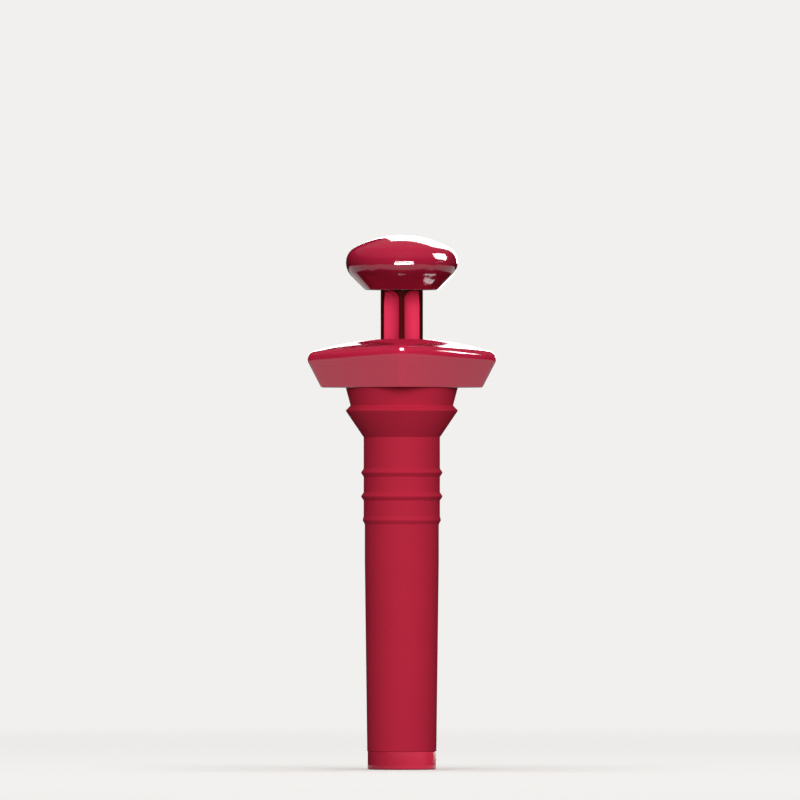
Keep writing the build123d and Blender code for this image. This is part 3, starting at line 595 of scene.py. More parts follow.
class PUMP_OT_rod(bpy.types.Operator):
    """Makes the plunger rod with its four ball-ended flutes"""

    bl_idname = "wine_pump.rod"
    bl_label = "Plunger rod"

    # How far the flutes' centres lie outside the rod, half the web between two of them, and how
    # much they narrow towards the knob
    SINK, HALF_WEB, NARROWING = 0.13, 0.595, 0.5
    # The neck in the piston head, the plain stretch over it, and the screws' holes
    NECK, NECK_LENGTH, PLAIN, SCREW, LOW_HOLE, HIGH_HOLE = 3.0, 4.5, 1.5, 1.3, 7.4, 8.0
    # Columns across each flute and each land in turn, and a distance past everything on the rod
    SHARES, FAR = (30, 14, 30, 24, 30, 14, 30, 24), 99

    def execute(self, context):
        sizes, colours = context.scene.pump_sizes, context.scene.pump_colours
        rod, flute = sizes.rod_radius / MM, sizes.flute_radius / MM
        # The rod's two tones are painted light on the flute floors and painted shade on the lands
        painted_tones = colours.flute_painted_lit_red, colours.land_painted_shade_red, rod
        red = finish("red_rod_painted_light_and_shade", painted_light_rod, *painted_tones)
        grid = self.fluted(rod, flute)
        made = piece("rod", [grid], "plunger", red, ["plunger_rod"], sharp=38)
        # The collar's dome stays plain red at the rod's foot
        made.visible_glossy = False
        return {"FINISHED"}

    def section(self, rod, flute, low, high, held):
        """The rod from one screw's hole to the other's, with rows close together where the flutes'
        ball ends curve."""
        foot, knob, end = ROD_LOW[2], KNOB_LOW[2], ROD_HIGH[2]
        shoulder = foot + self.NECK_LENGTH
        ball = flute * np.sin(np.linspace(0, math.pi / 2, 34))
        straight = np.linspace(low, high, 60)
        rows = [[shoulder, shoulder + 0.3], low - ball, straight, high + ball, [held, knob]]
        rows = np.unique(np.round(np.concatenate(rows), 5))
        neck = [(self.SCREW, foot), (self.NECK, foot, 0.25), (self.NECK, shoulder)]
        low_hole, high_hole = foot + self.LOW_HOLE, end - self.HIGH_HOLE
        return np.concatenate(
            [
                [(0, low_hole), (self.SCREW, low_hole)], eased(neck, closed=False),
                np.column_stack([np.full(len(rows), rod), rows]),
                [(rod, knob + 1e-4), (rod, end - 0.3), (rod - 0.3, end), (self.SCREW, end)],
                [(self.SCREW, high_hole), (0, high_hole)],
            ]
        )

    def columns(self, middles, half):
        """Angles that follow the flutes' edges, closer together at both ends of each share."""
        edges = np.concatenate([middles - half, middles + half], 1)
        edges = edges[:, [0, 4, 1, 5, 2, 6, 3, 7]]
        edges = np.concatenate([edges, edges[:, :1] + TAU], 1)
        a = []
        for i, count in enumerate(self.SHARES):
            start, stop = edges[:, i : i + 1], edges[:, i + 1 : i + 2]
            t = np.linspace(0, math.pi, count, endpoint=False)
            a.append(start + (stop - start) * (0.5 - 0.5 * np.cos(t)))
        return np.concatenate(a, 1)

    def fluted(self, rod, flute):
        """The rod's surface: a turned section, drawn in to the flutes' floors and to two flats.

        A flute is a cylinder of radius q about a line outside the rod, with a ball at each end.
        Its floor lies c cos t - sqrt(q^2 - (c sin t)^2) from the axis, where c is the distance of
        its line and t the angle from its middle."""
        knob, shoulder = KNOB_LOW[2], ROD_LOW[2] + self.NECK_LENGTH
        low, high = shoulder + self.PLAIN + flute, knob - flute
        centre = rod + self.SINK
        spread = math.asin((flute + self.HALF_WEB) / centre)
        middles = np.array([math.pi / 2 - spread, math.pi / 2 + spread])
        middles = np.concatenate([middles, middles + math.pi])

        # As high on the rod as the guide's tongues reach when the plunger is down, and a bit more
        held = node_box("rod_guide")[1][2] - travel("plunger_slide")[0] + 0.1
        section = self.section(rod, flute, low, high, held)
        r, z = section[:, :1], section[:, 1:]

        # The flute's own radius at a height: full along the rod, and a ball's at both ends. From
        # the tongues to the knob it narrows on its outer side by 0.5 mm t^2 (3 - 2t), t from 0 to 1
        share = np.clip((z - held) / (knob - held), 0, 1)
        narrow = self.NARROWING * share**2 * (3 - 2 * share)
        past = np.maximum(np.maximum(low - z, z - high), 0)
        across = np.sqrt(np.maximum((flute - narrow / 2) ** 2 - past**2, 0))
        inward = narrow / 2 / centre * np.array([1, -1, 1, -1])
        middles = middles + np.where(z > 0, inward, 0)
        cosine = (centre**2 + rod**2 - across**2) / (2 * centre * rod)
        half = np.maximum(np.arccos(np.clip(cosine, -1, 1)), math.radians(0.6))
        inside = (r > rod - 0.01) & (z > shoulder) & (z < knob)
        a = self.columns(middles, np.where(inside, half, math.radians(8)))

        # Each column's distance to the nearest flute's floor, and the flats above the knob's foot
        turn = a[..., None] - middles[:, None]
        outward = np.clip(turn * np.array([-1, 1, -1, 1]) * centre, 0, flute)
        past = np.maximum(low - z, z - high)[..., None] - outward * (z > 0)[..., None]
        across = (flute - narrow / 2)[..., None] ** 2 - np.maximum(past, 0) ** 2
        reach = np.maximum(across, 0) - (centre * np.sin(turn)) ** 2
        wall = centre * np.cos(turn) - np.sqrt(np.maximum(reach, 0))
        wall = np.where((reach > 0) & (np.cos(turn) > 0.5), wall, self.FAR).min(-1)
        radius = soft_least(r + 0 * a, np.where(inside, wall, self.FAR), blend=0.08)
        level = (rod - FLAT_INSET) / np.maximum(np.abs(np.sin(a)), 1e-6)
        radius = np.where(z > knob, np.minimum(radius, np.maximum(level, self.SCREW)), radius)
        return polar(radius, a, z)


def soft_least(a, b, blend):
    """The smaller of two values, rounded over a width where they meet:
    a mixed with b by h, less blend h (1 - h), with h = 0.5 + 0.5 (a - b) / blend held to 0..1."""
    h = np.clip(0.5 + 0.5 * (a - b) / blend, 0, 1)
    return a + (b - a) * h - blend * h * (1 - h)


# Collar

# The collar's wall, its inner corners, its screws' distance from the axis and their hole
COLLAR_WALL, INNER_ROUND, SCREW_X, SCREW_HOLE = 1.6, 0.6, 11.45, 0.95


def rounded(a, b, cosine, radius):
    """The signed distance to where two walls meet, with the edge rounded by a radius q.

    a and b are the distances to the walls, and cosine is that of the angle between their normals.
    With p = a + q and s = b + q, a point beyond both tangent lines is
    sqrt((p^2 + s^2 - 2 p s cosine) / (1 - cosine^2)) - q away, and elsewhere max(a, b)."""
    p, s = a + radius, b + radius
    beyond = np.sqrt(np.maximum(p * p + s * s - 2 * p * s * cosine, 0) / (1 - cosine * cosine))
    on_arc = (p > cosine * s) & (s > cosine * p) & (p + s > 0)
    return np.where(on_arc, beyond - radius, np.maximum(a, b))


def root(test, shape, low, high=40.0, steps=44):
    """Where test(t) turns from negative to positive between two bounds, by halving."""
    low, high = np.full(shape, low), np.full(shape, high)
    for _ in range(steps):
        middle = (low + high) / 2
        below = test(middle) < 0
        low, high = np.where(below, middle, low), np.where(below, high, middle)
    return (low + high) / 2


class CollarForm:
    """The collar's outside: four cones about far axes, a low hipped dome above, a flat below.

    The bowed side of the first quadrant is an arc about (side_x, side_y), with both negative. Its
    radius grows with the height by the slope that gives the long ends their flare."""

    # How far the long and short ends reach past the sleeve, the sides' bow, the long ends' flare
    # in degrees, the foot's round, and the top of the dome
    LONG_REACH, SHORT_REACH, BOW, FLARE, FOOT_ROUND, TOP = 6.6, 3.4, 1.1, 27.5, 0.5, 23.6
    # How much flatter the dome is across, the height of its hips, and how soft they start
    FLATTER, HIP, SOFT = 0.72, 0.01, 2

    def __init__(self, sizes):
        self.base = COLLAR_LOW[2]
        self.ridge, self.crown = sizes.ridge_round / MM, sizes.crown_round / MM
        self.dome = sizes.dome_radius / MM
        half_length = SLEEVE_HIGH[0] + self.LONG_REACH
        half_width = SLEEVE_HIGH[0] + self.SHORT_REACH
        chord = math.hypot(half_length, half_width)
        self.radius = chord**2 / (8 * self.BOW) + self.BOW / 2
        self.side_x = half_length / 2 - (self.radius - self.BOW) * half_width / chord
        self.side_y = half_width / 2 - (self.radius - self.BOW) * half_length / chord
        narrow = math.sqrt(1 - (self.side_y / self.radius) ** 2)
        self.slope = math.tan(math.radians(self.FLARE)) * narrow
        self.lean = 1 / math.hypot(1, self.slope)
        self.dip = self.slope * self.lean

    def sides(self, x, y, z, inset=0.0, ridge=None):
        """Signed distance to the four sides. The normals of two sides that meet at a long end have
        the cosine lean^2 (1 - 2 (side_y / radius)^2) + dip^2, and at a short end with side_x."""
        ridge = self.ridge if ridge is None else ridge
        x, y = np.abs(x), np.abs(y)
        radius = self.radius + (z - self.base) * self.slope - inset
        near = (np.hypot(x - self.side_x, y - self.side_y) - radius) * self.lean
        over_x = (np.hypot(x - self.side_x, y + self.side_y) - radius) * self.lean
        over_y = (np.hypot(x + self.side_x, y - self.side_y) - radius) * self.lean
        long_end = self.lean**2 * (1 - 2 * (self.side_y / self.radius) ** 2) + self.dip**2
        short_end = self.lean**2 * (1 - 2 * (self.side_x / self.radius) ** 2) + self.dip**2
        return rounded(rounded(near, over_x, long_end, ridge), over_y, short_end, ridge)

    def roof(self, x, y):
        """The dome's height and its slopes along X and Y.

        It is the top less x^2 / 2R, less 0.72 y^2 / 2R, which makes it flatter across, and less
        0.01 s(x) s(y), with s(t) = sqrt(t^2 + 4) - 2, which draws soft hips towards the corners."""
        root_x, root_y = np.sqrt(x * x + self.SOFT**2), np.sqrt(y * y + self.SOFT**2)
        over_x, over_y = root_x - self.SOFT, root_y - self.SOFT
        drop = (x * x + self.FLATTER * y * y) / (2 * self.dome)
        height = self.TOP - drop - self.HIP * over_x * over_y
        slope_x = -x / self.dome - self.HIP * x / root_x * over_y
        slope_y = -self.FLATTER * y / self.dome - self.HIP * y / root_y * over_x
        return height, slope_x, slope_y

    def outside(self, x, y, z):
        """Signed distance to the whole collar: sides, rounded into the dome and into the foot."""
        step = 1e-3
        wall = self.sides(x, y, z)
        slope_x = (self.sides(x + step, y, z) - wall) / step
        slope_y = (self.sides(x, y + step, z) - wall) / step
        slope_z = (self.sides(x, y, z + step) - wall) / step
        height, roof_x, roof_y = self.roof(x, y)
        steep = np.sqrt(roof_x**2 + roof_y**2 + 1)
        cosine = np.clip((slope_z - slope_x * roof_x - slope_y * roof_y) / steep, -0.9, 0.9)
        both = rounded(wall, (z - height) / steep, cosine, self.crown)
        return rounded(both, self.base - z, self.dip, self.FOOT_ROUND)

    def reach(self, a, z, inset):
        """How far out the inset outline is at a height, for each angle."""
        x, y = np.cos(a), np.sin(a)
        return root(lambda r: self.sides(r * x, r * y, z, inset, INNER_ROUND), a.shape, 3.0)

    def skin(self, a, middle, tilts):
        """Points of the outside, found along rays from (0, 0, middle): columns by the angle round
        the axis, rows by the tilt above the horizon."""
        a, tilt = np.broadcast_arrays(a[None], np.radians(tilts)[:, None])
        x, y, z = np.cos(tilt) * np.cos(a), np.cos(tilt) * np.sin(a), np.sin(tilt)
        t = root(lambda t: self.outside(t * x, t * y, middle + t * z), a.shape, 2.0)
        return np.stack([t * x, t * y, middle + t * z], -1)


def ring(a, r, z):
    """One row of a grid: the radius and the height may change with the angle."""
    return polar(r, a, z)[None]


class PUMP_OT_collar(bpy.types.Operator):
    """Makes the collar's lid and bowl, gloss mouldings that meet at a seam under the crown"""

    bl_idname = "wine_pump.collar"
    bl_label = "Collar"

    def execute(self, context):
        sizes, colours = context.scene.pump_sizes, context.scene.pump_colours
        red = finish("gloss_red_moulded_abs", gloss_abs, colours.gloss_red)
        form, bowl_height = CollarForm(sizes), 5.2
        seam = COLLAR_LOW[2] + bowl_height
        # Columns stand four times closer at the ridges: a = u - 0.19 sin 4u
        u = np.arange(448) * TAU / 448
        a = u - 0.19 * np.sin(4 * u)
        self.lid(form, a, seam, sizes.seam_round / MM, red)
        self.bowl(form, a, seam, sizes.seam_round / MM, red)
        return {"FINISHED"}

    def lid(self, form, a, seam, edge, red):
        """The dome's skin from the seam to the rod's hole, then back inside: the guide's ring, the
        ceiling, and the lip that stands in the bowl. Two bosses take the screws."""
        hole, ring_in, ring_out, ring_foot = ROD_HIGH[0] + LOOSE_GAP, 7.65, 10.05, 16.6
        under, lip, lip_wall, widened = 1.9, seam - 1.0, 0.8, 0.12
        rim_break, wall_break = 0.15, 0.08
        rim = math.degrees(math.atan2(form.roof(hole, 0.0)[0] - seam, hole))
        tilts = [[0, 0.1, 0.4], np.linspace(1, 17, 86), np.linspace(17, rim, 22)[1:]]
        skin = form.skin(a, seam, np.concatenate(tilts))
        skin[0, :, :2] *= 1 - edge / np.linalg.norm(skin[0, :, :2], axis=1, keepdims=True)
        skin_rim = np.linalg.norm(skin[-1, :, :2], axis=1, keepdims=True)
        skin[-1, :, :2] *= (skin_rim + widened) / skin_rim
        outset = COLLAR_WALL + FIT_GAP
        wall = form.reach(a, lip, outset + lip_wall)
        lip_out, lip_top = form.reach(a, lip, outset), form.reach(a, seam, outset)
        shares = np.linspace(0, 1, 12)[:, None]
        ceiling_r = ring_out + (wall - wall_break - ring_out) * shares
        ceiling = polar(ceiling_r, a, self.level(form, a, ceiling_r) - under)
        grid = np.concatenate(
            [
                skin,
                ring(a, hole, self.level(form, a, hole) - rim_break),
                ring(a, hole, self.level(form, a, hole) - under),
                ring(a, ring_in, self.level(form, a, ring_in) - under),
                ring(a, ring_in, ring_foot), ring(a, ring_out, ring_foot),
                ceiling, ring(a, wall, lip), ring(a, lip_out, lip), ring(a, lip_top, seam),
            ]
        )
        boss, foot, top, pilot_top = 2.05, 13.4, 21.3, 19.09
        tube = eased(
            [
                (SCREW_HOLE, foot), (boss, foot, 0.2), (boss, top), (0, top), (0, pilot_top),
                (SCREW_HOLE, pilot_top),
            ]
        )
        # The section starts and ends on the boss's own axis
        tube = np.roll(tube, -1 - np.argmax(tube[:, 0] < 1e-9), axis=0)
        bosses = [turned(tube, 48, centre=(x, 0)) for x in (-SCREW_X, SCREW_X)]
        piece("collar_cover", [grid, *bosses], "pump_body", red, ["collar_lid"])

    def level(self, form, a, r):
        """The dome's height at an angle and a distance from the axis."""
        return form.roof(r * np.cos(a), r * np.sin(a))[0]

    def bowl(self, form, a, seam, edge, red):
        """The skin from the barrel's hole round the foot to the seam, and the wall inside."""
        hole, base, sink = SLEEVE_BORE, COLLAR_LOW[2], 2.95
        floor = base + COLLAR_WALL
        rim = math.degrees(math.atan2(base - seam, hole))
        tilts = [[rim]] + [
            np.linspace(start, end, count)[1:]
            for start, end, count in ((rim, -23, 5), (-23, -13.5, 70), (-13.5, -0.4, 16))
        ]
        skin = form.skin(a, seam, np.concatenate([*tilts, [-0.1, 0]]))
        skin[-1, :, :2] *= 1 - edge / np.linalg.norm(skin[-1, :, :2], axis=1, keepdims=True)
        inside = [ring(a, form.reach(a, z, COLLAR_WALL), z) for z in np.linspace(seam, floor, 5)]
        grid = np.concatenate([skin, *inside, ring(a, hole, floor)])
        made = piece("collar_dish", [grid], "pump_body", red, ["collar_bowl"])
        screw = [(0, base - 1), (sink, base - 1), (SCREW_HOLE, base + 1), (SCREW_HOLE, floor + 1)]
        screw = np.array([*screw, (0, floor + 1)])
        cut(made, [turned(screw, 48, centre=(x, 0)) for x in (-SCREW_X, SCREW_X)])


# Sleeve, cap and seals

SLEEVE_BORE = 7.85


class PUMP_OT_sleeve(bpy.types.Operator):
    """Makes the rubber sleeve: skirt, waist, sealing cone, three ribs, guide land and long taper"""

    bl_idname = "wine_pump.sleeve"
    bl_label = "Stopper sleeve"

    def execute(self, context):
        sizes, colours = context.scene.pump_sizes, context.scene.pump_colours
        rubber = finish("satin_red_moulded_silicone", silicone, colours.rubber_red)
        soft, tip, top = sizes.rib_round / MM, SLEEVE_LOW[2], SLEEVE_HIGH[2]
        plug, land, land_foot, former, former_floor = 9.15, 8.88, -29.6, 11.0, 1.4352
        section = [(SLEEVE_BORE, tip), (8.3, tip, 0.15), (land, land_foot, 3)]
        rib_half, crest_half, fillet = 1.0, 0.1, 0.35
        # Each rib's crest, how far out it reaches, and the radius below it
        for crest, reach, below in ((-20.0, 9.37, land), (-14.3, 9.75, plug), (-8.6, 9.75, plug)):
            section += [
                (below, crest - rib_half, fillet), (reach, crest - crest_half, soft),
                (reach, crest + crest_half, soft), (plug, crest + rib_half, fillet),
            ]
        section += [
            (plug, 0), (9.25, 0.02, 0.02), (13.5, 6.3, 0.3), (12.3, 7.5, 0.35), (13.45, top, 0.1),
            (former, top), (former, 4.9187), (8.65, former_floor), (SLEEVE_BORE, former_floor),
        ]
        line = turned(eased(section), 288)
        piece("rubber_sleeve", [line], "pump_body", rubber, ["stopper_sleeve"], 24)
        return {"FINISHED"}


class PUMP_OT_cap(bpy.types.Operator):
    """Makes the gloss cap at the tip, with six air inlets in its floor"""

    bl_idname = "wine_pump.cap"
    bl_label = "End cap"

    def execute(self, context):
        colours = context.scene.pump_colours
        red = finish("bright_red_moulded_abs", gloss_abs, colours.cap_red, 0.3, 0.25)
        band, low, high = CAP_HIGH[0], CAP_LOW[2], CAP_HIGH[2]
        step, floor, spigot, inside = low + 4.3, low + 1.6, 6.85, 5.9
        port, port_circle, ports = 0.8, 3, 6
        section = [
            (0, low), (band, low, 0.4), (band, step, 0.08), (spigot, step), (spigot, high, 0.1),
            (inside, high, 0.15), (inside, floor), (0, floor),
        ]
        cap = turned(eased(section, closed=False), 256)
        made = piece("tip_cap", [cap], "pump_body", red, ["end_cap"])
        drill = np.array([(0, low - 1), (port, low - 1), (port, floor + 1), (0, floor + 1)])
        turns = np.arange(ports) * TAU / ports
        places = [(port_circle * math.cos(t), port_circle * math.sin(t)) for t in turns]
        cut(made, [turned(drill, 32, centre=place) for place in places])
        return {"FINISHED"}


class PUMP_OT_seals(bpy.types.Operator):
    """Makes the black rubber seals: piston ring, stroke bumper, seat gasket and valve disc"""

    bl_idname = "wine_pump.seals"
    bl_label = "Seals"

    def execute(self, context):
        black = linear("#1A1A1B")
        rubber = finish("black_moulded_nitrile", plain_polymer, black, 0.5, 0.15, 0.006, 1.52)
        low, high = node_box("piston_o_ring")
        section = (high[2] - low[2]) / 2
        middle = (high[0] - section, (low[2] + high[2]) / 2)
        ring_line = arc(middle, section, 0, 360, 41)[:-1]

        (_, _, foot), (outer, _, top) = node_box("stroke_bumper")
        inner = ROD_HIGH[0] + FIT_GAP
        stop_line = eased([(inner, foot), (outer, foot, 0.1), (outer, top, 0.3), (inner, top, 0.3)])

        (_, _, foot), (outer, _, top) = node_box("seat_gasket")
        inner, soft = outer - 1.6, 0.1
        seat_line = eased(
            [(inner, foot, soft), (outer, foot, soft), (outer, top, soft), (inner, top, soft)]
        )

        (_, _, foot), (outer, _, top) = node_box("valve_disc")
        rim, hub = foot + DISC_RIM, 1.5
        flap = [
            (0, foot), (outer, foot, 0.12), (outer, rim, 0.12),
            (hub, rim, 0.1), (hub, top, 0.1), (0, top),
        ]
        flap_line = eased(flap, closed=False)
        for name, line, columns, body, node in (
            ("piston_ring_seal", ring_line, 160, "piston_ring", "piston_o_ring"),
            ("stroke_stop", stop_line, 128, "plunger", "stroke_bumper"),
            ("seat_ring", seat_line, 128, "pump_body", "seat_gasket"),
            ("inlet_flap", flap_line, 96, "inlet_valve", "valve_disc"),
        ):
            piece(name, [turned(line, columns)], body, rubber, [node])
        return {"FINISHED"}


# The thickness of the valve disc's rim, which the spring stands on, and the spring's height
DISC_RIM, SPRING_HEIGHT = 0.9, 3.3


class PUMP_OT_spring(bpy.types.Operator):
    """Makes the coiled spring over the inlet valve"""

    bl_idname = "wine_pump.spring"
    bl_label = "Valve spring"

    def execute(self, context):
        steel = finish("bright_drawn_spring_steel", drawn_steel, linear("#C3C4C8"), 0.22, (1, 1, 1))
        wire, turns, steps = 0.2, 3, 96
        coil = node_box("valve_spring")[1][0] - wire
        foot = node_box("valve_disc")[0][2] + DISC_RIM
        # Centre line (R cos t, R sin t, z0 + k t). The wire's ring lies in the plane of the outward
        # direction (cos t, sin t, 0) and the binormal (k sin t, -k cos t, R) / sqrt(R^2 + k^2)
        t = np.linspace(0, TAU * turns, steps * turns + 1)
        pitch = (SPRING_HEIGHT - 2 * wire) / (TAU * turns)
        line, out = polar(coil, t, foot + wire + pitch * t), polar(1, t, 0)
        side = np.stack([pitch * np.sin(t), -pitch * np.cos(t), coil + 0 * t], -1)
        side /= math.hypot(coil, pitch)
        ends = np.concatenate([[0, 0], np.arange(len(t)), [len(t) - 1] * 2]).astype(int)
        girth = wire * np.concatenate([[0, 0.8], np.ones(len(t)), [0.8, 0]])
        round_wire = np.arange(20)[None, :, None] * TAU / 20
        grid = line[ends][:, None] + girth[:, None, None] * (
            np.cos(round_wire) * out[ends][:, None] + np.sin(round_wire) * side[ends][:, None]
        )
        made = piece("coil_spring", [grid], "pump_body", steel, ["valve_spring"])
        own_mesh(made)
        return {"FINISHED"}


class PUMP_OT_inner_parts(bpy.types.Operator):
    """Gives the hidden CAD parts their own finishes"""

    bl_idname = "wine_pump.inner_parts"
    bl_label = "Inner parts"

    def execute(self, context):
        for name, pattern, arguments, nodes in (
            (
                "natural_turned_acetal", plain_polymer,
                (linear("#E9E7E0"), 0.35, 0.3, 0.002, 1.48, 0.1),
                ("piston_head", "rod_guide", "valve_seat", "valve_cage"),
            ),
            (
                "natural_moulded_polypropylene", plain_polymer,
                (linear("#DCDDDC"), 0.42, 0.4, 0.003, 1.49, 0.2),
                ("sleeve_former", "barrel"),
            ),
            (
                "zinc_plated_screw_steel", drawn_steel, (linear("#B9BCC0"), 0.3, (1, 1, 6)),
                ("knob_screw", "piston_screw", "collar_screws"),
            ),
        ):
            material = finish(name, pattern, *arguments)
            for node in nodes:
                for place in frame["nodes"][node].material_slots:
                    place.material = material
        return {"FINISHED"}


# Studio


class PUMP_OT_stage(bpy.types.Operator):
    """Makes the pale floor and backdrop, the soft lights and the photograph's camera angle"""

    bl_idname = "wine_pump.stage"
    bl_label = "Stage"

    # How bright the world is overhead, and how bright a panel looks that stands for lit paper
    DIM, PAPER = 0.15, 0.85
    # Heights in metres that the lamps turn to, and of the two panels under the knob
    KNOB_AIM, COLLAR_AIM, GLINT_LEVEL = 0.042, 0.02, 0.0245

    def execute(self, context):
        scene = context.scene
        self.floor(scene.pump_colours.floor_white)
        self.flag()
        self.world(scene)
        self.lights(scene)
        self.camera(scene)
        scene.view_settings.view_transform = "Standard"
        return {"FINISHED"}

    def sheet(self, name, points, faces, material):
        """A stage surface from points in metres, with its material."""
        mesh = bpy.data.meshes.new(name)
        mesh.from_pydata(points.tolist(), [], faces)
        mesh.materials.append(material)
        made = placed(name, mesh)
        return made

    def floor(self, white):
        """A level square of paper, 60 m across, so that no view finds its edge."""
        level, half = cad_box[0][2] - 0.02 * MM, 30.0
        paper = finish("matt_white_studio_paper", studio_paper, white)
        corners = np.array([(-1, -1), (1, -1), (1, 1), (-1, 1)]) * half
        points = np.column_stack([corners, np.full(4, level)])
        self.paper_sheet = self.sheet("floor", points, [(0, 1, 2, 3)], paper)

    def flag(self):
        """Black felt that only the gloss sees, from under the pump to a rim 1.1 m out and 0.6 m up.

        The pale panels on it stand for the paper, so each gloss piece mirrors its own stretch."""
        level = cad_box[0][2] / MM + 1
        grid = turned(np.array([(8.2, level), (1100.0, level), (1100.0, 600.0)]), 96) * MM
        felt = finish("black_wool_felt", wool_felt)
        flag = self.sheet("flag", grid.reshape(-1, 3), quads(3, 96, False).tolist(), felt)
        flag.visible_camera = flag.visible_diffuse = False
        flag.visible_shadow = flag.visible_transmission = False

    def world(self, scene):
        """Pale round the horizon, where the camera and the gloss meet it, and dim overhead."""
        world = bpy.data.worlds.new("studio")
        scene.world = world
        world.use_nodes = True
        tree = world.node_tree
        background = tree.nodes["Background"]
        background.inputs["Color"].default_value = (*scene.pump_colours.floor_white, 1)
        generated = add_node(tree, "TexCoord").outputs["Generated"]
        towards = add_node(tree, "SeparateXYZ", {"Vector": generated})
        low, high = math.sin(math.radians(7)), math.sin(math.radians(13))
        ends = {"From Min": low, "From Max": high, "To Min": 1.0, "To Max": self.DIM}
        pale = add_node(tree, "MapRange", {"Value": towards.outputs["Z"], **ends})
        ends = {0: seen_rays(tree), 2: self.DIM, 3: pale}
        strength = add_node(tree, "Mix", ends, data_type="FLOAT")
        tree.links.new(strength.outputs[0], background.inputs["Strength"])

    def lamp(self, name, place, aim, wide, tall, radiance, lit, shows="both", roll=0):
        """A soft panel in metres, facing a point. Its power is radiance times pi times its area.

        It lights only some pieces, and shows as "light" on them, in their "gloss", or as both."""
        data = bpy.data.lights.new(name, "AREA")
        data.shape, data.size, data.size_y = "RECTANGLE", wide, tall
        data.energy = radiance * math.pi * wide * tall
        made = placed(name, data)
        made.location = place
        facing = (Vector(aim) - Vector(place)).to_track_quat("-Z", "Y")
        made.rotation_euler = (facing @ Quaternion((0, 0, 1), math.radians(roll))).to_euler()
        made.visible_camera = False
        made.visible_glossy, made.visible_diffuse = shows != "light", shows != "gloss"
        group = bpy.data.collections.new(name + "_lit")
        for piece_lit in lit:
            group.objects.link(piece_lit)
        made.light_linking.receiver_collection = group
        return made

    def around(self, azimuth, elevation, distance, height=0.0):
        """A place seen from the axis: azimuth from the camera's side towards +X, in degrees."""
        a, e = math.radians(azimuth), math.radians(elevation)
        out = distance * math.cos(e)
        return out * math.sin(a), -out * math.cos(a), height + distance * math.sin(e)

    def lights(self, scene):
        """Soft keys that only light, and panels that only show in the gloss of the pieces named."""
        objects = bpy.data.objects
        knob = [objects["knob_dome"], objects["knob_belly"]]
        collar = [objects["collar_cover"], objects["collar_dish"]]
        cap = [objects["tip_cap"]]
        pieces = [o for o in scene.objects if o.type == "MESH" and o.name not in ("floor", "flag")]
        rest = [o for o in pieces if o not in knob + collar]
        top, low = self.KNOB_AIM, self.COLLAR_AIM
        self.lamp("stage_lamp", (0, -0.2, 1.8), (0, 0, 0), 2.0, 2.0, 3.4, [self.paper_sheet])

        # Name, pieces lit, how it shows, azimuth, elevation, distance, height of the place that
        # these start from, height of the aim, width, height, radiance and roll
        for name, lit, shows, *place, aim, wide, tall, radiance, roll in (
            ("key_lamp", rest, "light", 6, 23, 1.2, 0, 0, 2.4, 0.8, 3.35, 0),
            ("collar_key_lamp", collar, "light", 20, 20, 1.2, 0, low, 1.2, 0.8, 2.9, 0),
            ("knob_key_lamp", knob, "light", 6, 46, 1.2, 0, top, 0.8, 0.8, 6.2, 0),
            ("back_lamp", pieces, "light", 180, 38, 1.2, 0, 0, 0.8, 0.8, 5.5, 0),
            ("collar_fill_lamp", collar, "light", -20, 0, 1.2, 0, low, 0.6, 0.6, 9.2, 0),
            ("collar_top_lamp", collar, "light", 20, 70, 1.0, 0, low, 0.5, 0.5, 3.2, 0),
            ("knob_front_window", knob, "gloss", 4, -9, 0.35, top, top, 0.24, 0.075, 60.0, 5),
            ("knob_side_window", knob, "gloss", 96, 26, 0.7, top, top, 0.38, 0.33, 44.0, -25),
            ("knob_rim_panel", knob, "gloss", 170, 20, 0.6, top, top, 0.27, 0.42, 9.0, 0),
            ("knob_low_panel", knob, "gloss", 173, -7, 0.6, top, top, 0.09, 0.1, 7.0, 0),
            ("collar_front_window", collar, "gloss", 0, 52, 0.9, low, low, 0.5, 0.58, 40.0, 0),
            ("collar_side_window", collar, "gloss", 99, 33, 0.7, low, low, 0.125, 0.17, 28.0, 0),
            ("tip_lamp", cap, "light", 70, 8, 0.5, -0.07, -0.077, 0.3, 0.3, 5.0, 0),
            ("tip_edge_panel", cap, "gloss", 158, 9, 0.5, -0.07, 0.008, 0.3, 0.15, 7.0, 0),
        ):
            place = self.around(*place)
            self.lamp(name, place, (0, 0, aim), wide, tall, radiance, lit, shows, roll)

        # Panels that stand upright behind the collar: name, place, width, height, radiance and roll
        for name, place, wide, tall, radiance, roll in (
            ("collar_panel_left", (-0.088, 0.7, 0.125), 0.12, 0.205, 7.0, -13.6),
            ("collar_panel_right", (0.11, 0.7, 0.15), 0.15, 0.27, 9.0, 15.2),
            ("collar_red_card", (0.006, 0.69, 0.265), 0.075, 0.5, 0.75, 0),
        ):
            facing = (place[0], 0, place[2])
            card = self.lamp(name, place, facing, wide, tall, radiance, collar, "gloss", roll)
        card.data.color = scene.pump_colours.gloss_red

        # Panels that lie face up on the felt, as bright as lit paper: name, pieces, X and Y
        level = cad_box[0][2] + 2 * MM
        for name, lit, x, y in (
            ("for_collar", collar, (-0.4, 0.4), (-0.4, 0.4)),
            ("for_knob_front", knob, (-0.4, 0.4), (-0.4, -0.112)),
            ("for_knob_left", knob, (-0.6, -0.19), (-0.112, 0.15)),
            ("for_knob_right", knob, (0.19, 0.6), (-0.112, 0.33)),
            ("for_knob_left_corner", knob, (-0.19, -0.14), (-0.112, -0.03)),
            ("for_knob_right_corner", knob, (0.14, 0.19), (-0.112, -0.03)),
            ("for_knob_back_left", knob, (-0.6, 0.1), (0.15, 0.7)),
            ("for_knob_back_right", knob, (0.1, 0.6), (0.33, 0.73)),
        ):
            place = ((x[0] + x[1]) / 2, (y[0] + y[1]) / 2, level)
            above = (place[0], place[1] + MM, level + 1)
            wide, deep = x[1] - x[0], y[1] - y[0]
            self.lamp("paper_" + name, place, above, wide, deep, self.PAPER, lit, "gloss")

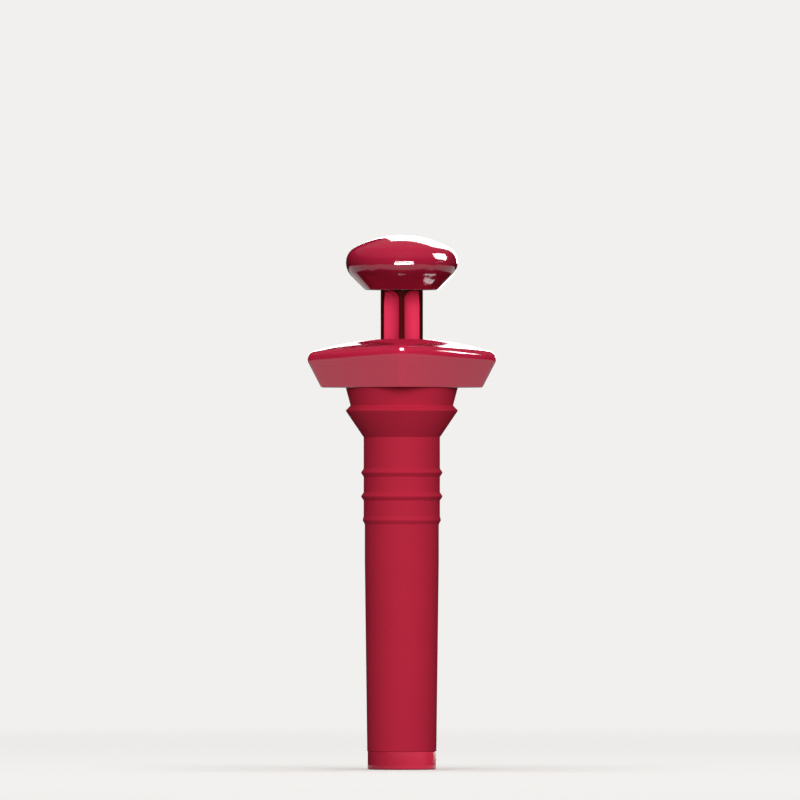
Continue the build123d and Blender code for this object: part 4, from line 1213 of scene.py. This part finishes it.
        # Two small panels close under the knob, in millimetres: name, X, Y, width, depth and roll
        for name, x, y, wide, deep, roll in (
            ("upper", 16.2, -6.6, 10, 3.8, -50), ("lower", 14.2, -2.5, 9.5, 1.5, -60)
        ):
            place = Vector((x * MM, y * MM, self.GLINT_LEVEL))
            above, wide, deep = place + Vector((0, MM, 1)), wide * MM, deep * MM
            self.lamp("knob_glint_" + name, place, above, wide, deep, 4.0, knob, "gloss", roll)

    def camera(self, scene):
        """A long lens 4 m away at the height of the sleeve's ribs, 192 mm wide at the axis."""
        away, wide, eye, middle, film, aside = 4.0, 0.192, -16.0, 8.83, 36, -0.43
        data = bpy.data.cameras.new("camera")
        data.sensor_width, data.lens = film, film * away / wide
        data.clip_start, data.clip_end = 0.1, 80
        made = placed("camera", data)
        made.location = (aside * MM, -away, eye * MM)
        made.rotation_euler = (math.pi / 2 + math.atan2((middle - eye) * MM, away), 0, 0)
        scene.camera = made


class PUMP_PT_panel(bpy.types.Panel):
    """Lists the pump's pieces and its stage"""

    bl_label = "Wine Pump"
    bl_idname = "PUMP_PT_panel"
    bl_space_type = "VIEW_3D"
    bl_region_type = "UI"
    bl_category = "Wine Pump"

    def draw(self, context):
        for group in (context.scene.pump_sizes, context.scene.pump_colours):
            for name in group.__annotations__:
                self.layout.prop(group, name)
        for step in STEPS:
            self.layout.operator(step.bl_idname)


STEPS = (
    PUMP_OT_knob, PUMP_OT_rod, PUMP_OT_collar, PUMP_OT_sleeve, PUMP_OT_cap,
    PUMP_OT_seals, PUMP_OT_spring, PUMP_OT_inner_parts, PUMP_OT_stage,
)
CLASSES = (PumpSizes, PumpColours, *STEPS, PUMP_PT_panel)


def register():
    for item in CLASSES:
        bpy.utils.register_class(item)
    bpy.types.Scene.pump_sizes = PointerProperty(type=PumpSizes)
    bpy.types.Scene.pump_colours = PointerProperty(type=PumpColours)


def unregister():
    del bpy.types.Scene.pump_colours
    del bpy.types.Scene.pump_sizes
    for item in reversed(CLASSES):
        bpy.utils.unregister_class(item)


def main():
    register()
    for step in STEPS:
        group, name = step.bl_idname.split(".")
        getattr(getattr(bpy.ops, group), name)()


if __name__ == "__main__":
    main()
